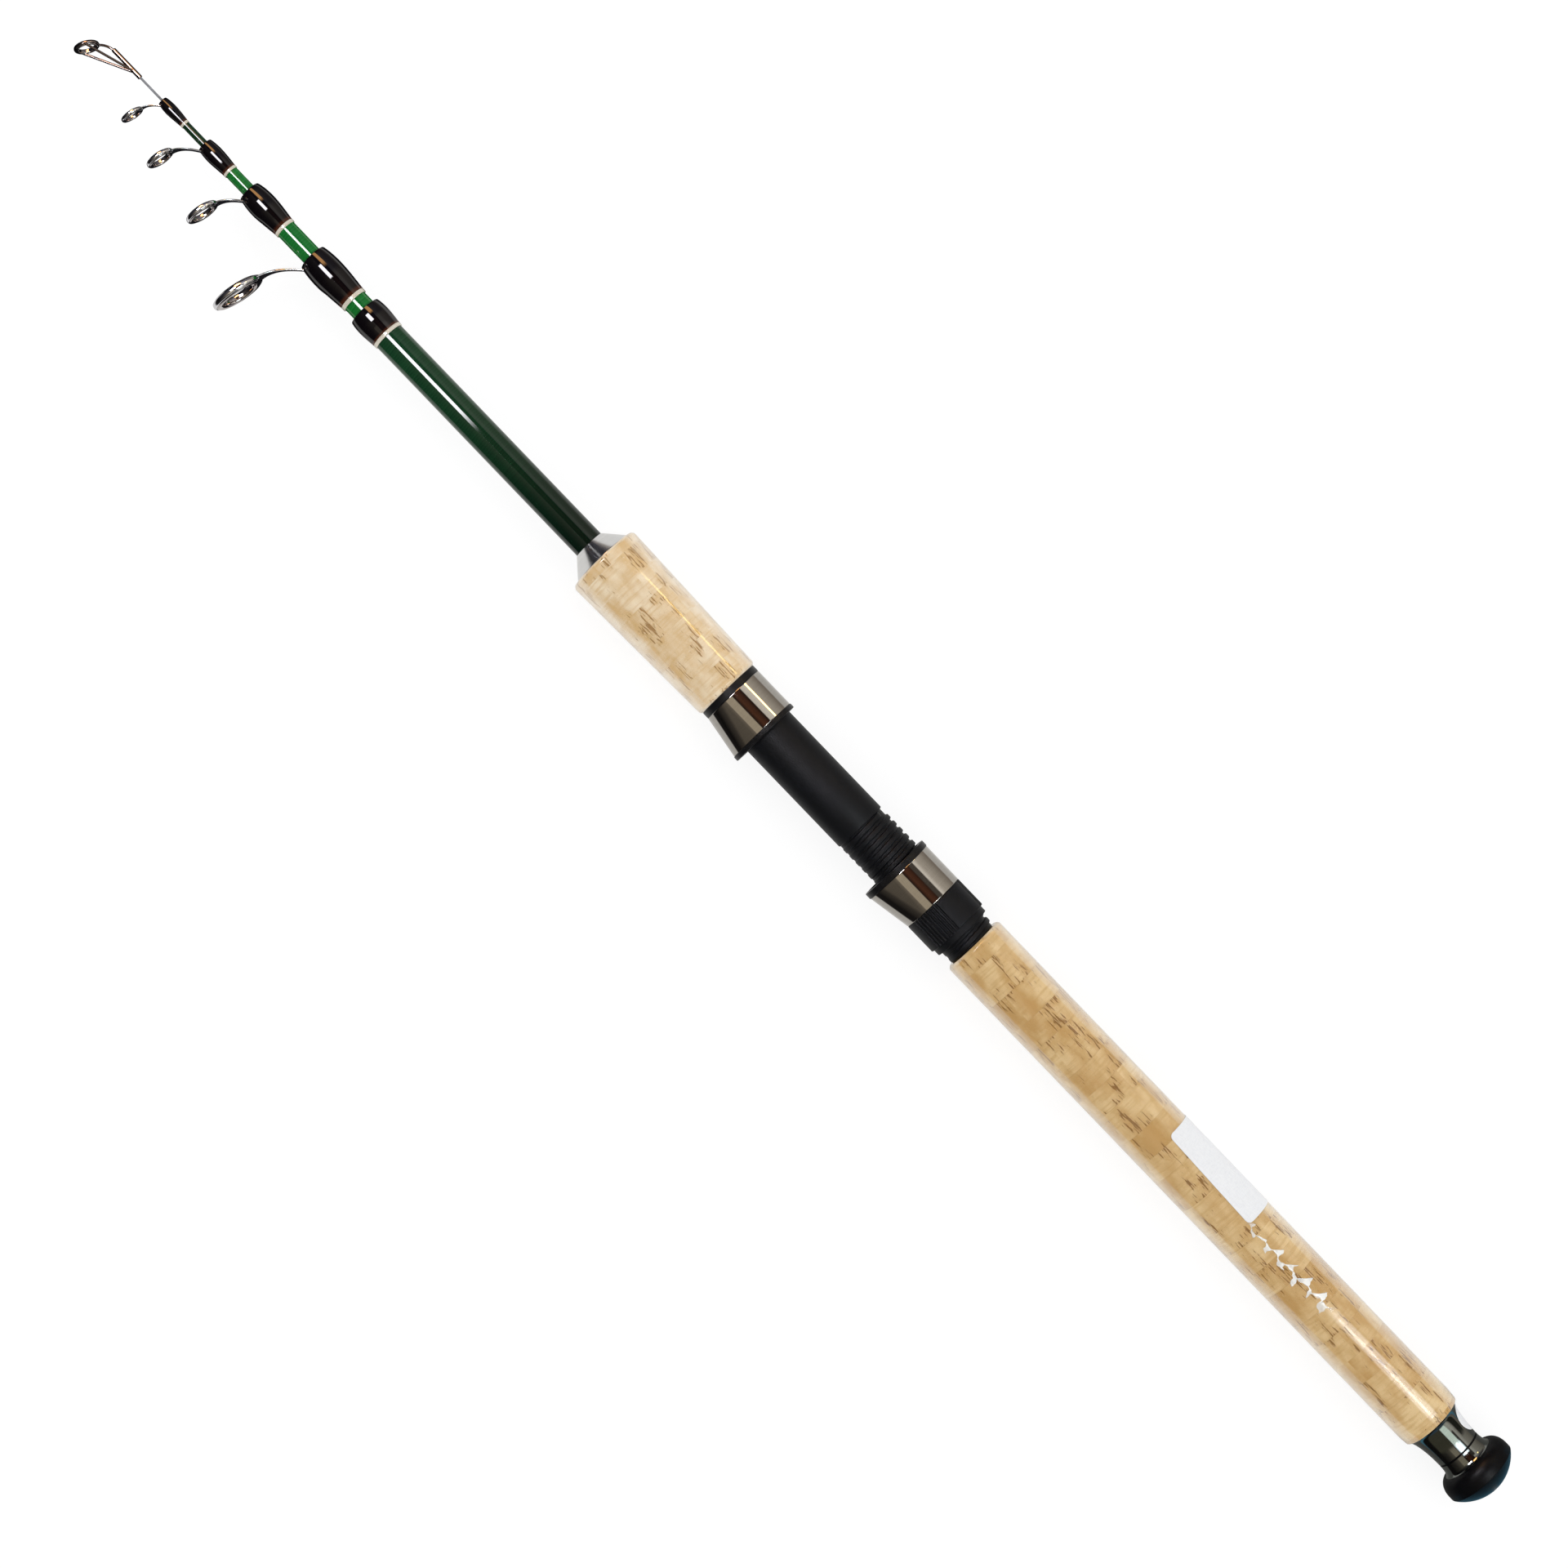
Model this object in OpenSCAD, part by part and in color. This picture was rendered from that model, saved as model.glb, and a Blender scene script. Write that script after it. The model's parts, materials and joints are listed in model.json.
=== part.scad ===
// Telescopic spinning rod, closed for carrying.
// A base blank carries the cork grips, the screw-down reel seat and the butt cap.
// Four guided sections and a solid tip nest inside it and slide out towards the tip.
// The rod lies along X with the butt end at the origin and the tip towards +X. The line guides and
// the reel foot are on the +Y side, and +Z is up as the rod lies on its side. Sizes are millimetres.

/* [Butt] */
// Diameter of the rubber button
button_d = 30; // [28:0.5:34]
// Length of the rubber button
button_len = 15; // [14:0.5:18]
// Length of the straight band round the button
button_band = 2; // [1.5:0.5:4]
// Diameter of the flat on the button's end
button_flat_d = 6; // [5:0.5:12]
// Length of the dome behind the band
button_dome = 7.4; // [5:0.2:8]
// Diameter of the button's mouth, round the screw cap
button_mouth_d = 22.6; // [22:0.2:26]
// Rubber between the button's end and the screw cap's floor
button_back = 5; // [4:0.5:6]
// Diameter of the screw cap inside the button
cap_d = 20; // [19.6:0.1:21]
// Length of the screw cap
cap_len = 15; // [14:0.5:18]
// Diameter of the flared rim of the screw cap, in front of the button
cap_rim_d = 21.8; // [21:0.1:22.4]
// Thickness of the screw cap's floor
cap_floor = 1.5; // [1:0.1:2]
// Thickness of the cushion pad on the cap's floor
pad_t = 6; // [4:0.5:7]
// Diameter of the threaded spigot that the cap screws on
spigot_d = 16.4; // [15.6:0.1:17]
// Diameter at the seam between the cap and the collar
waist_d = 18.8; // [18.4:0.1:19.6]
// Thickness of the sealing washer in that seam
seal_t = 0.6; // [0.4:0.1:1.2]
// Length of the flared collar
collar_len = 14.4; // [11:0.2:18]
// Diameter of the collar at the grip
collar_d = 25.2; // [23:0.2:26]

/* [Grips] */
// Length of the rear cork grip
rear_grip_len = 251.6; // [200:0.4:320]
// Diameter of the rear cork grip
rear_grip_d = 26; // [26:0.2:29]
// Length of the rear grip's taper at the collar
rear_grip_lead = 4; // [2:0.5:8]
// Length of the fore cork grip
fore_grip_len = 68.6; // [50:0.2:100]
// Diameter of the fore grip at the reel seat
fore_grip_rear_d = 28; // [26.5:0.2:29]
// Diameter of the fore grip at its front edge
fore_grip_front_d = 31; // [29:0.2:33]
// Rounding of the cork edges
cork_round = 1; // [0.5:0.1:2]
// Thickness of the clear shrink film over the cork
film_t = 0.2; // [0.15:0.05:0.4]
// Length of the winding check in front of the fore grip
check_len = 7.6; // [5:0.2:12]
// Diameter of the winding check at the cork
check_d = 26.4; // [22:0.2:28]
// Height of the winding check's front edge above the blank
check_edge = 0.25; // [0.2:0.05:0.6]

/* [Reel seat] */
// Length of the reel seat barrel
barrel_len = 131.6; // [122:0.4:145]
// Diameter of the barrel
barrel_d = 22; // [20:0.2:22.4]
// Bore of the barrel, over the spacer arbors
barrel_bore = 15.4; // [14.6:0.2:16.4]
// Length of each spacer arbor between the blank and the barrel
arbor_len = 16; // [8:1:24]
// Distance from each end of the barrel to the arbor there
arbor_inset = 6; // [2:0.5:12]
// Length of the threaded rear end of the barrel
thread_len = 61.6; // [58:0.4:66]
// Pitch of the barrel thread
thread_pitch = 3.4; // [3:0.1:3.8]
// Depth of the barrel thread
thread_depth = 0.8; // [0.7:0.05:0.9]
// Width of a thread crest
crest_w = 1.2; // [1:0.1:1.4]
// Width of a thread ridge at its root
ridge_w = 2.3; // [2:0.1:2.4]
// Width of the keyway that stops the sliding hood from turning
keyway_w = 3; // [2:0.2:4]
// Length of the keyway from the rear end of the barrel
keyway_len = 82; // [80:1:90]
// Clearance between thread flanks, crests and roots
thread_gap = 0.3; // [0.25:0.05:0.35]
// Gap between the rear end of the barrel and the lock nut
nut_back = 5.8; // [5.4:0.2:6]
// Wall of the lock nut outside its thread
nut_wall = 1.9; // [1.7:0.1:2.7]
// Length of the lock nut's ribbed part
nut_len = 13.3; // [10:0.1:14]
// Wall of the step behind the ribbed part
nut_step_wall = 1; // [0.7:0.1:1.7]
// Length of that step
nut_step_len = 2.7; // [1.5:0.1:4]
// Length of the nut's neck inside the sliding hood
nut_neck_len = 4; // [3:0.2:5]
// Number of rib groups round the nut
rib_groups = 3; // [2:1:4]
// Number of grooves in a rib group
rib_grooves = 8; // [5:1:9]
// Angle between grooves
rib_angle = 7; // [6:0.5:8]
// Diameter of a groove
groove_d = 1; // [0.8:0.1:1.2]
// Wall of the hood liners round the barrel
liner_wall = 1.3; // [1.1:0.1:2.1]
// Length of a hood's plated shell
hood_len = 17.4; // [15:0.2:19]
// Wall of the plated shells
hood_wall = 0.9; // [0.7:0.1:1]
// Height of the pocket's mouth above the barrel, for the reel foot
pocket_height = 3.5; // [2.8:0.1:4.4]
// Diameter of the pocket's crown, over the reel foot
pocket_crown_d = 19.4; // [17:0.2:20.8]
// Length of the sliding hood's black lip
slide_lip = 2.6; // [1.5:0.1:3.5]
// Length of the front hood's black lip
front_lip = 2; // [1.5:0.1:3.5]
// Height of a lip above its shell
lip_proud = 0.25; // [0.1:0.05:0.5]
// Thickness of a liner's roof over the reel foot
liner_roof = 0.7; // [0.5:0.1:1]
// Depth of the pocket for the reel foot
pocket_depth = 13; // [9:0.5:14]
// Clearance of the sliding hood on the barrel
hood_gap = 0.25; // [0.15:0.05:0.35]
// Thickness of the washer between the front hood and the fore grip
seat_washer_t = 2.9; // [1.5:0.1:5]

/* [Sections] */
// Length of the base blank from the winding check to its mouth
base_exposed = 123.4; // [110:0.2:180]
// Diameter of the base blank at its mouth
base_top_d = 12.4; // [12.2:0.1:12.8]
// Diameter that the base blank gains towards the butt
base_taper = 0.8; // [0.6:0.05:1]
// Wall of the base blank
base_wall = 0.9; // [0.8:0.05:0.95]
// Diameters that sections 2 to 5 gain towards the butt
section_taper = [0.6, 0.44, 1.15, 0.87]; // [0.4:0.01:1.3]
// Walls of sections 2 to 5
section_wall = [0.7, 0.7, 0.6, 0.55]; // [0.5:0.01:0.75]
// Bare blank of sections 2 to 5 that shows when the rod is closed
bare_len = [5.3, 14.6, 10, 10.5]; // [3:0.1:20]
// Diameter that the solid tip gains towards the butt
tip_taper = 1.1; // [0.9:0.05:1.15]
// Length of a section that stays inside the next when drawn out
overlap = 100; // [60:1:120]
// Radial clearance of a section drawn out to its stop
slide_gap = 0.1; // [0.08:0.01:0.14]
// Clearance between the closed sections and the cushion pad
nest_gap = 0.3; // [0.2:0.05:0.6]

/* [Whippings] */
// Length of the base whipping
base_wrap_len = 12; // [8:0.2:20]
// Height of the base whipping above the blank
base_wrap_build = 1; // [0.7:0.05:1.4]
// Length of the base trim band
base_trim_len = 1.5; // [0.8:0.1:3]
// Height of the base trim band above the blank
base_trim_build = 0.45; // [0.3:0.05:0.6]
// Lengths of the whippings on sections 2 to 5
wrap_len = [21.7, 18.7, 13.4, 11.8]; // [10:0.1:26]
// Heights of the whippings on sections 2 to 5 above the blanks
wrap_build = [1.55, 1.45, 0.9, 0.75]; // [0.7:0.05:1.8]
// Lengths of the trim bands on sections 2 to 5
trim_len = [1.6, 1.4, 1.1, 1]; // [0.6:0.1:3]
// Heights of the trim bands on sections 2 to 5 above the blanks
trim_build = [0.6, 0.4, 0.3, 0.2]; // [0.15:0.05:0.65]
// Lacquer past the end of a blank
wrap_cap = 0.8; // [0.5:0.1:1.2]
// Place of a whipping's widest part, as a share of its length from the trim band
swell_peak = 0.6; // [0.4:0.05:0.7]
// Fullness of a whipping's swelling, from 0.5, full, to 1, lean
swell_power = 0.75; // [0.5:0.05:1]

/* [Line guides] */
// Outer diameters of the guide rings on sections 2 to 5
guide_ring_d = [21.7, 13.6, 11.5, 9.4]; // [9:0.1:24]
// Line openings of the guide rings
guide_hole_d = [15.4, 9.2, 7.6, 6.4]; // [6:0.1:17]
// Distances from the rod axis to the ring centres
guide_height = [30, 19.4, 17, 12]; // [11:0.1:34]
// Distances from a whipping's front end to the ring centre
guide_reach = [10, 5.4, 6.6, 4]; // [3:0.1:13]
// Lean of the guide rings towards the tip
guide_rake = 10; // [0:1:15]
// Turn of sections 2 to 5 about the rod axis as they lie closed
guide_roll = [0, 18, 22, 4]; // [-30:1:30]
// Widths of the guide legs
leg_w = [3, 2.4, 2, 1.6]; // [1.2:0.1:4]
// Thicknesses of the guide legs
leg_t = [1.2, 1, 0.8, 0.7]; // [0.6:0.05:1.5]
// Thicknesses of the guide feet under the whippings
foot_t = [0.8, 0.7, 0.4, 0.35]; // [0.3:0.05:0.9]
// Lengths of the guide feet
foot_len = [13, 11.2, 8, 7]; // [6:0.1:15]
// Distances from a whipping's front end back to the root of the leg
leg_back = [2, 1.8, 1.4, 1.2]; // [1:0.1:3]
// Share of a leg's span over which it runs in line with its ring
leg_bend = 0.4; // [0.2:0.05:0.6]
// Radial thickness of the band that holds a ring
band_t = 0.7; // [0.5:0.05:0.9]
// Width of that band along the line
band_w = [2.2, 1.8, 1.6, 1.4]; // [1.2:0.1:3]
// Straight land inside each ring
ring_land = 1; // [0.6:0.1:1.4]

/* [Tip top] */
// Length of the bare tip behind the tip top
tip_bare = 12.1; // [6:0.1:30]
// Length of the tip top's tube
tube_len = 15; // [10:0.2:20]
// Diameter of the tip top's tube
tube_d = 1.9; // [1.7:0.05:2.4]
// Outer diameter of the tip top's ring
tip_ring_d = 10; // [9:0.1:13]
// Line opening of the tip top
tip_hole_d = 6.6; // [6:0.1:8]
// Distance from the rod axis to the centre of the tip ring
tip_height = 7.2; // [6.6:0.1:9]
// Distance from the front of the tube to the centre of the tip ring
tip_reach = 6.9; // [5:0.1:9]
// Lean of the tip ring towards the tip
tip_rake = 20; // [10:1:28]
// Turn of the tip about the rod axis as it lies closed
tip_roll = 22; // [-30:1:30]
// Width of the band that holds the tip ring
tip_band_w = 1.4; // [1:0.1:2]
// Diameter of the tip top's wire legs
wire_d = 0.9; // [0.7:0.05:1.1]
// Angle from the outer side of the tip ring round to its side legs
leg_spread = 70; // [50:1:85]
// Distance from the rear of the tube to the root of the side legs
leg_root = 4; // [2:0.2:6]

/* [Hidden] */
$fn = 96;

// Gap filled by glue between bonded pieces
bond_gap = 0.02;
// Running clearance between faces that turn or slide on each other
run_gap = 0.1;
// Clearance on each side of the key in the keyway
key_gap = 0.2;
// Overshoot of a cutting shape past the face that it cuts
past = 1;
// Steps along a curved outline, and along one turn of a thread
arc_steps = 10;
turn_steps = 24;
// Roundness of the shapes that are blended into the hoods
hood_fn = 48;

// Places along the rod, from the butt end
cap_x = button_back;
pad_x = cap_x + cap_floor;
nest_x = pad_x + pad_t + nest_gap;
cap_front_x = cap_x + cap_len;
collar_x = cap_front_x + seal_t + 2 * run_gap;
rear_grip_x = collar_x + collar_len;
barrel_x = rear_grip_x + rear_grip_len;
barrel_end_x = barrel_x + barrel_len;
fore_grip_x = barrel_end_x + seat_washer_t;
check_x = fore_grip_x + fore_grip_len;
base_front_x = check_x + check_len + base_exposed;

// Places along the reel seat
nut_x = barrel_x + nut_back + nut_step_len;
nut_front_x = nut_x + nut_len;
slide_hood_x = nut_front_x + run_gap;
thread_end_x = barrel_x + thread_len;
core_r = barrel_d / 2 - thread_depth;
hood_d = barrel_d + 2 * (liner_wall + hood_wall);
hood_reach = barrel_d / 2 + pocket_height + liner_roof + hood_wall;
hood_crown_d = pocket_crown_d + 2 * (liner_roof + hood_wall);
nut_d = barrel_d + 2 * (thread_gap + nut_wall);
nut_step_d = barrel_d + 2 * (thread_gap + nut_step_wall);
neck_r = hood_d / 2 - hood_wall - 2 * run_gap;
nut_bore_r = barrel_d / 2 + thread_gap;
// Start of the barrel thread, and the clearance along the rod beside each of the nut's teeth
thread_x = barrel_x + ridge_w / 2 + run_gap;
flank_gap = 1.25 * thread_gap;

// Sections counted from the base blank, through the guided sections, to the tip
BASE = 0;
TIP = len(wrap_len) + 1;
GUIDED = [for (k = [BASE + 1 : TIP - 1]) k];

// Blends from a to b as t runs from 0 to 1
function blend(a, b, t) = a + (b - a) * t;

// Front end of a section's whipping, and of the tip blank inside its tube
function front_x(k) =
    k == BASE ? base_front_x :
    k == TIP ? front_x(TIP - 1) + tip_bare + tube_len - wrap_cap :
    front_x(k - 1) + bare_len[k - 1] + trim_len[k - 1] + wrap_len[k - 1];
// Front end of a section's blank
function blank_front_x(k) = k == TIP ? front_x(k) : front_x(k) - wrap_cap;
function taper(k) = k == BASE ? base_taper : k == TIP ? tip_taper : section_taper[k - 1];
function wall(k) = k == BASE ? base_wall : section_wall[k - 1];
// Diameter of a blank at its butt end: an inner one stops in the bore of the section outside it
function butt_d(k) =
    k == BASE ? base_top_d + base_taper :
    2 * (bore_r(k - 1, front_x(k - 1) - overlap) - slide_gap);
// Outer and inner radius of a blank at a place along the rod
function blank_r(k, x) =
    (butt_d(k) - taper(k) * (x - nest_x) / (blank_front_x(k) - nest_x)) / 2;
function bore_r(k, x) = blank_r(k, x) - wall(k);
function fit_r(k, x) = blank_r(k, x) + bond_gap;

// A solid of revolution about the rod axis, from an outline of [radius, place] points
module spin(outline) {
    rotate([0, 90, 0]) rotate_extrude() polygon(outline);
}

// A plain ring about the rod axis
module collar(x0, x1, inner_r, outer_r) {
    spin([[inner_r, x0], [outer_r, x0], [outer_r, x1], [inner_r, x1]]);
}

// Sets a flat shape, drawn with the reel foot side up, square to the rod axis
module across(x, length) {
    translate([x, 0, 0]) rotate([0, 90, 0]) linear_extrude(length) children();
}

// A tapered blank
module blank(k) {
    x0 = nest_x;
    x1 = blank_front_x(k);
    spin([[bore_r(k, x0), x0], [blank_r(k, x0), x0], [blank_r(k, x1), x1], [bore_r(k, x1), x1]]);
}

// A lacquered whipping with a swollen middle, which also caps the end of the blank
module whipping(k, length, build, edge) {
    x0 = front_x(k) - length;
    x1 = front_x(k);
    xb = blank_front_x(k);
    swell = [for (i = [0 : arc_steps])
        let (t = i / arc_steps, x = blend(x0, x1, t), turn = 180 * pow(t, ln(0.5) / ln(swell_peak)))
        [fit_r(k, x) + edge + (build - edge) * pow(sin(turn), swell_power), x]];
    spin(concat(
        [[fit_r(k, x0), x0]], swell,
        [[bore_r(k, xb), x1], [bore_r(k, xb), xb + bond_gap], [fit_r(k, xb), xb + bond_gap]]));
}

// A trim band behind a whipping
module trim_band(k, wrap, length, build) {
    x1 = front_x(k) - wrap - bond_gap;
    x0 = x1 - length;
    spin([[fit_r(k, x0), x0], [fit_r(k, x0) + build, x0],
        [fit_r(k, x1) + build, x1], [fit_r(k, x1), x1]]);
}

// Clear film round a grip whose outline is a list of [radius, place] points
module film(outline) {
    shifted = [for (p = outline) [p[0] + bond_gap, p[1]]];
    last = len(shifted) - 1;
    outer = [for (i = [last : -1 : 0]) [shifted[i][0] + film_t, shifted[i][1]]];
    spin(concat(shifted, outer));
}

// A ridge wound round the rod axis as a right-handed thread, from a four-point [radius, place]
// profile whose points run along the root, up, along the crest and down
module thread(profile, x, turns) {
    steps = ceil(turns * turn_steps);
    n = len(profile);
    points = [for (j = [0 : steps], p = profile)
        let (a = 360 * j / turn_steps)
        [x + p[1] + thread_pitch * a / 360, p[0] * cos(a), p[0] * sin(a)]];
    sides = [for (j = [0 : steps - 1], i = [0 : n - 1])
        let (a = j * n + i, b = j * n + (i + 1) % n)
        [[a, b + n, b], [a, a + n, b + n]]];
    last = steps * n;
    ends = [[0, 1, 2], [0, 2, 3], [last + 2, last + 1, last], [last + 3, last + 2, last]];
    polyhedron(points, concat([for (s = sides, f = s) f], ends), convexity = 10);
}

// The outline of a hood's mouth: a circle on the rod axis and a crown towards the reel foot
module mouth(r, crown_r, reach) {
    hull() {
        circle(r, $fn = hood_fn);
        translate([0, reach - crown_r]) circle(crown_r, $fn = hood_fn);
    }
}

// The loft of a hood from its round closed end at 0 to its mouth, drawn in by an inset all round,
// and run on past both ends
module hood_form(inset, over) {
    r = hood_d / 2 - inset;
    hull() {
        across(-over, over) circle(r, $fn = hood_fn);
        across(hood_len, over) mouth(r, hood_crown_d / 2 - inset, hood_reach - inset);
    }
}

// Sets a hood with its closed end at a place along the rod and its mouth forwards or backwards
module hood_at(x, forwards) {
    translate([x, 0, 0]) rotate([0, forwards ? 0 : 180, 0]) children();
}

// A plated hood shell, open at both ends
module hood_shell() {
    difference() {
        intersection() {
            hood_form(0, past);
            across(0, hood_len) circle(2 * hood_reach);
        }
        hood_form(hood_wall, 2 * past);
    }
}

// A black hood liner with its lip and the pocket for the reel foot, from a start behind the mouth
module hood_liner(start, lip, gap) {
    bore = barrel_d / 2 + gap;
    end = hood_len + lip;
    difference() {
        union() {
            intersection() {
                hood_form(hood_wall + bond_gap, past);
                across(start, hood_len - start) circle(2 * hood_reach);
            }
            across(hood_len, lip)
                mouth(hood_d / 2 + lip_proud, hood_crown_d / 2 + lip_proud, hood_reach + lip_proud);
        }
        across(-past, end + 2 * past) circle(bore);
        hull() {
            across(end - pocket_depth, bond_gap) circle(bore, $fn = hood_fn);
            across(end, past) mouth(bore, pocket_crown_d / 2, barrel_d / 2 + pocket_height);
        }
    }
}

module base_blank() {
    color("#1d5a30") blank(BASE);
}

module base_whipping() {
    color("#1c1512") whipping(BASE, base_wrap_len, base_wrap_build, base_trim_build);
}

module base_trim_band() {
    color("#e9e3d2") trim_band(BASE, base_wrap_len, base_trim_len, base_trim_build);
}

module winding_check() {
    x1 = check_x + check_len;
    color("#d5d5d2")
        spin([[fit_r(BASE, check_x), check_x], [check_d / 2, check_x],
            [fit_r(BASE, x1) + check_edge, x1], [fit_r(BASE, x1), x1]]);
}

// Outline of the fore grip's outside, from the reel seat to the front edge
fore_grip_outline = [
    [fore_grip_rear_d / 2 - cork_round, fore_grip_x],
    [fore_grip_rear_d / 2, fore_grip_x + cork_round],
    [fore_grip_front_d / 2, check_x - cork_round],
    [fore_grip_front_d / 2 - cork_round, check_x]
];

module fore_grip() {
    color("#e6d2ad")
        spin(concat([[fit_r(BASE, fore_grip_x), fore_grip_x]], fore_grip_outline,
            [[fit_r(BASE, check_x), check_x]]));
}

module fore_grip_film() {
    color("#ffffff", 0.3) film(fore_grip_outline);
}

module seat_washer() {
    color("#1b1c1f")
        collar(barrel_end_x, fore_grip_x, fit_r(BASE, barrel_end_x), hood_d / 2);
}

module front_hood_shell() {
    color("#8b857b") hood_at(barrel_end_x, false) hood_shell();
}

module front_hood_liner() {
    color("#1b1c1f") hood_at(barrel_end_x, false) hood_liner(0, front_lip, bond_gap);
}

// The barrel: a plain front, a threaded rear and a keyway on its underside
module seat_barrel() {
    crest_r = barrel_d / 2;
    sunk_r = core_r - thread_gap;
    profile = [[sunk_r, -ridge_w / 2], [sunk_r, ridge_w / 2],
        [crest_r, crest_w / 2], [crest_r, -crest_w / 2]];
    turns = (thread_end_x - ridge_w / 2 - run_gap - thread_x) / thread_pitch - 1 / turn_steps;
    color("#1e2024")
        difference() {
            union() {
                collar(barrel_x, thread_end_x + run_gap, barrel_bore / 2, core_r);
                collar(thread_end_x, barrel_end_x, barrel_bore / 2, crest_r);
                thread(profile, thread_x, turns);
            }
            translate([barrel_x - past, -keyway_w / 2, -crest_r - past])
                cube([keyway_len + past, keyway_w, thread_depth + run_gap + past]);
        }
}

// Fibre rings that centre the barrel on the blank
module seat_arbors() {
    places = [barrel_x + arbor_inset, barrel_x + (barrel_len - arbor_len) / 2,
        barrel_end_x - arbor_inset - arbor_len];
    color("#b9a98c")
        for (x = places)
            collar(x, x + arbor_len, fit_r(BASE, x), barrel_bore / 2 - bond_gap);
}

// Outline of the rear grip's outside, from the collar to the reel seat
rear_grip_outline = [
    [collar_d / 2, rear_grip_x],
    [rear_grip_d / 2, rear_grip_x + rear_grip_lead],
    [rear_grip_d / 2, barrel_x - cork_round],
    [rear_grip_d / 2 - cork_round, barrel_x]
];

module rear_grip() {
    color("#d3b07b")
        spin(concat([[fit_r(BASE, rear_grip_x), rear_grip_x]], rear_grip_outline,
            [[fit_r(BASE, barrel_x), barrel_x]]));
}

module rear_grip_film() {
    color("#ffffff", 0.3) film(rear_grip_outline);
}

// The flared collar with the spigot for the butt cap
module butt_collar() {
    flare = [for (i = [0 : arc_steps])
        let (t = i / arc_steps)
        [blend(waist_d / 2, collar_d / 2, 1 - cos(90 * t)), blend(collar_x, rear_grip_x, sin(90 * t))]];
    color("#4c4843")
        spin(concat(
            [[fit_r(BASE, nest_x), nest_x], [spigot_d / 2, nest_x], [spigot_d / 2, collar_x]],
            flare, [[fit_r(BASE, nest_x), rear_grip_x]]));
}

module sliding_hood_shell() {
    color("#8b857b") hood_at(slide_hood_x, true) hood_shell();
}

// The sliding hood's liner, with the key that runs in the barrel's keyway
module sliding_hood_liner() {
    start = nut_neck_len + 2 * run_gap;
    key_r = barrel_d / 2 - thread_depth / 2;
    key_w = keyway_w - 2 * key_gap;
    color("#1b1c1f")
        hood_at(slide_hood_x, true) {
            hood_liner(start, slide_lip, hood_gap);
            translate([start, -key_w / 2, -neck_r])
                cube([hood_len + slide_lip - start, key_w, neck_r - key_r]);
        }
}

// The lock nut: ribbed outside, threaded inside, with a neck that turns in the sliding hood
module lock_nut() {
    rear_x = nut_x - nut_step_len;
    neck_x = nut_front_x + nut_neck_len;
    sunk_r = nut_bore_r + thread_gap / 2;
    crest_r = core_r + thread_gap;
    valley_w = thread_pitch - ridge_w;
    flank = (ridge_w - crest_w) / 2 / thread_depth;
    root_w = valley_w + 2 * flank * (nut_bore_r - core_r) - 2 * flank_gap;
    tooth_w = root_w - 2 * flank * (nut_bore_r - crest_r);
    profile = [[crest_r, -tooth_w / 2], [crest_r, tooth_w / 2],
        [sunk_r, root_w / 2], [sunk_r, -root_w / 2]];
    whole = ceil((rear_x + root_w - thread_x) / thread_pitch);
    start_x = thread_x + (whole + 0.5) * thread_pitch;
    turns = floor((neck_x - root_w - start_x) / thread_pitch);
    color("#1e2024") {
        difference() {
            union() {
                collar(rear_x, nut_x + run_gap, nut_bore_r, nut_step_d / 2);
                collar(nut_x, nut_front_x, nut_bore_r, nut_d / 2);
                collar(nut_front_x - run_gap, neck_x, nut_bore_r, neck_r);
            }
            for (g = [0 : rib_groups - 1], i = [0 : rib_grooves - 1])
                rotate([-360 * g / rib_groups - rib_angle * i, 0, 0])
                    translate([nut_x - past, 0, nut_d / 2])
                        rotate([0, 90, 0]) cylinder(h = nut_len + 2 * past, d = groove_d);
        }
        thread(profile, start_x, turns);
    }
}

module butt_seal() {
    x0 = cap_front_x + run_gap;
    color("#141414") collar(x0, x0 + seal_t, spigot_d / 2 + run_gap, waist_d / 2 - 2 * run_gap);
}

// The screw cap: a cup round the spigot, drawn in from its flared rim to the waist at its mouth
module butt_cap() {
    bore = spigot_d / 2 + run_gap;
    rim_x = button_len + bond_gap;
    flare = [for (i = [0 : arc_steps])
        let (t = i / arc_steps)
        [blend(cap_rim_d, waist_d, sin(90 * t)) / 2, blend(rim_x, cap_front_x, 1 - cos(90 * t))]];
    color("#4c4843")
        spin(concat([[0, cap_x], [cap_d / 2, cap_x], [cap_d / 2, rim_x]], flare,
            [[bore, cap_front_x], [bore, pad_x], [0, pad_x]]));
}

// The rubber button: a flat, a dome, a straight band and a rolled front edge round the cap
module butt_button() {
    r = button_d / 2;
    flat_r = button_flat_d / 2;
    band_x = button_dome + button_band;
    centre_x = (pow(r, 2) - pow(flat_r, 2) + pow(button_dome, 2)) / (2 * button_dome);
    dome_r = sqrt(pow(flat_r, 2) + pow(centre_x, 2));
    dome = [for (i = [0 : arc_steps])
        let (a = blend(asin(flat_r / dome_r), asin(r / dome_r), i / arc_steps))
        [dome_r * sin(a), centre_x - dome_r * cos(a)]];
    roll = [for (i = [0 : arc_steps])
        let (a = 90 * i / arc_steps)
        [blend(button_mouth_d / 2, r, cos(a)), blend(band_x, button_len, sin(a))]];
    cup_r = cap_d / 2 + bond_gap;
    color("#17181a")
        spin(concat([[0, 0]], dome, roll,
            [[cup_r, button_len], [cup_r, cap_x - bond_gap], [0, cap_x - bond_gap]]));
}

module butt_pad() {
    x0 = pad_x + bond_gap;
    color("#2b2b2b") collar(x0, x0 + pad_t, 0, spigot_d / 2);
}

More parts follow.
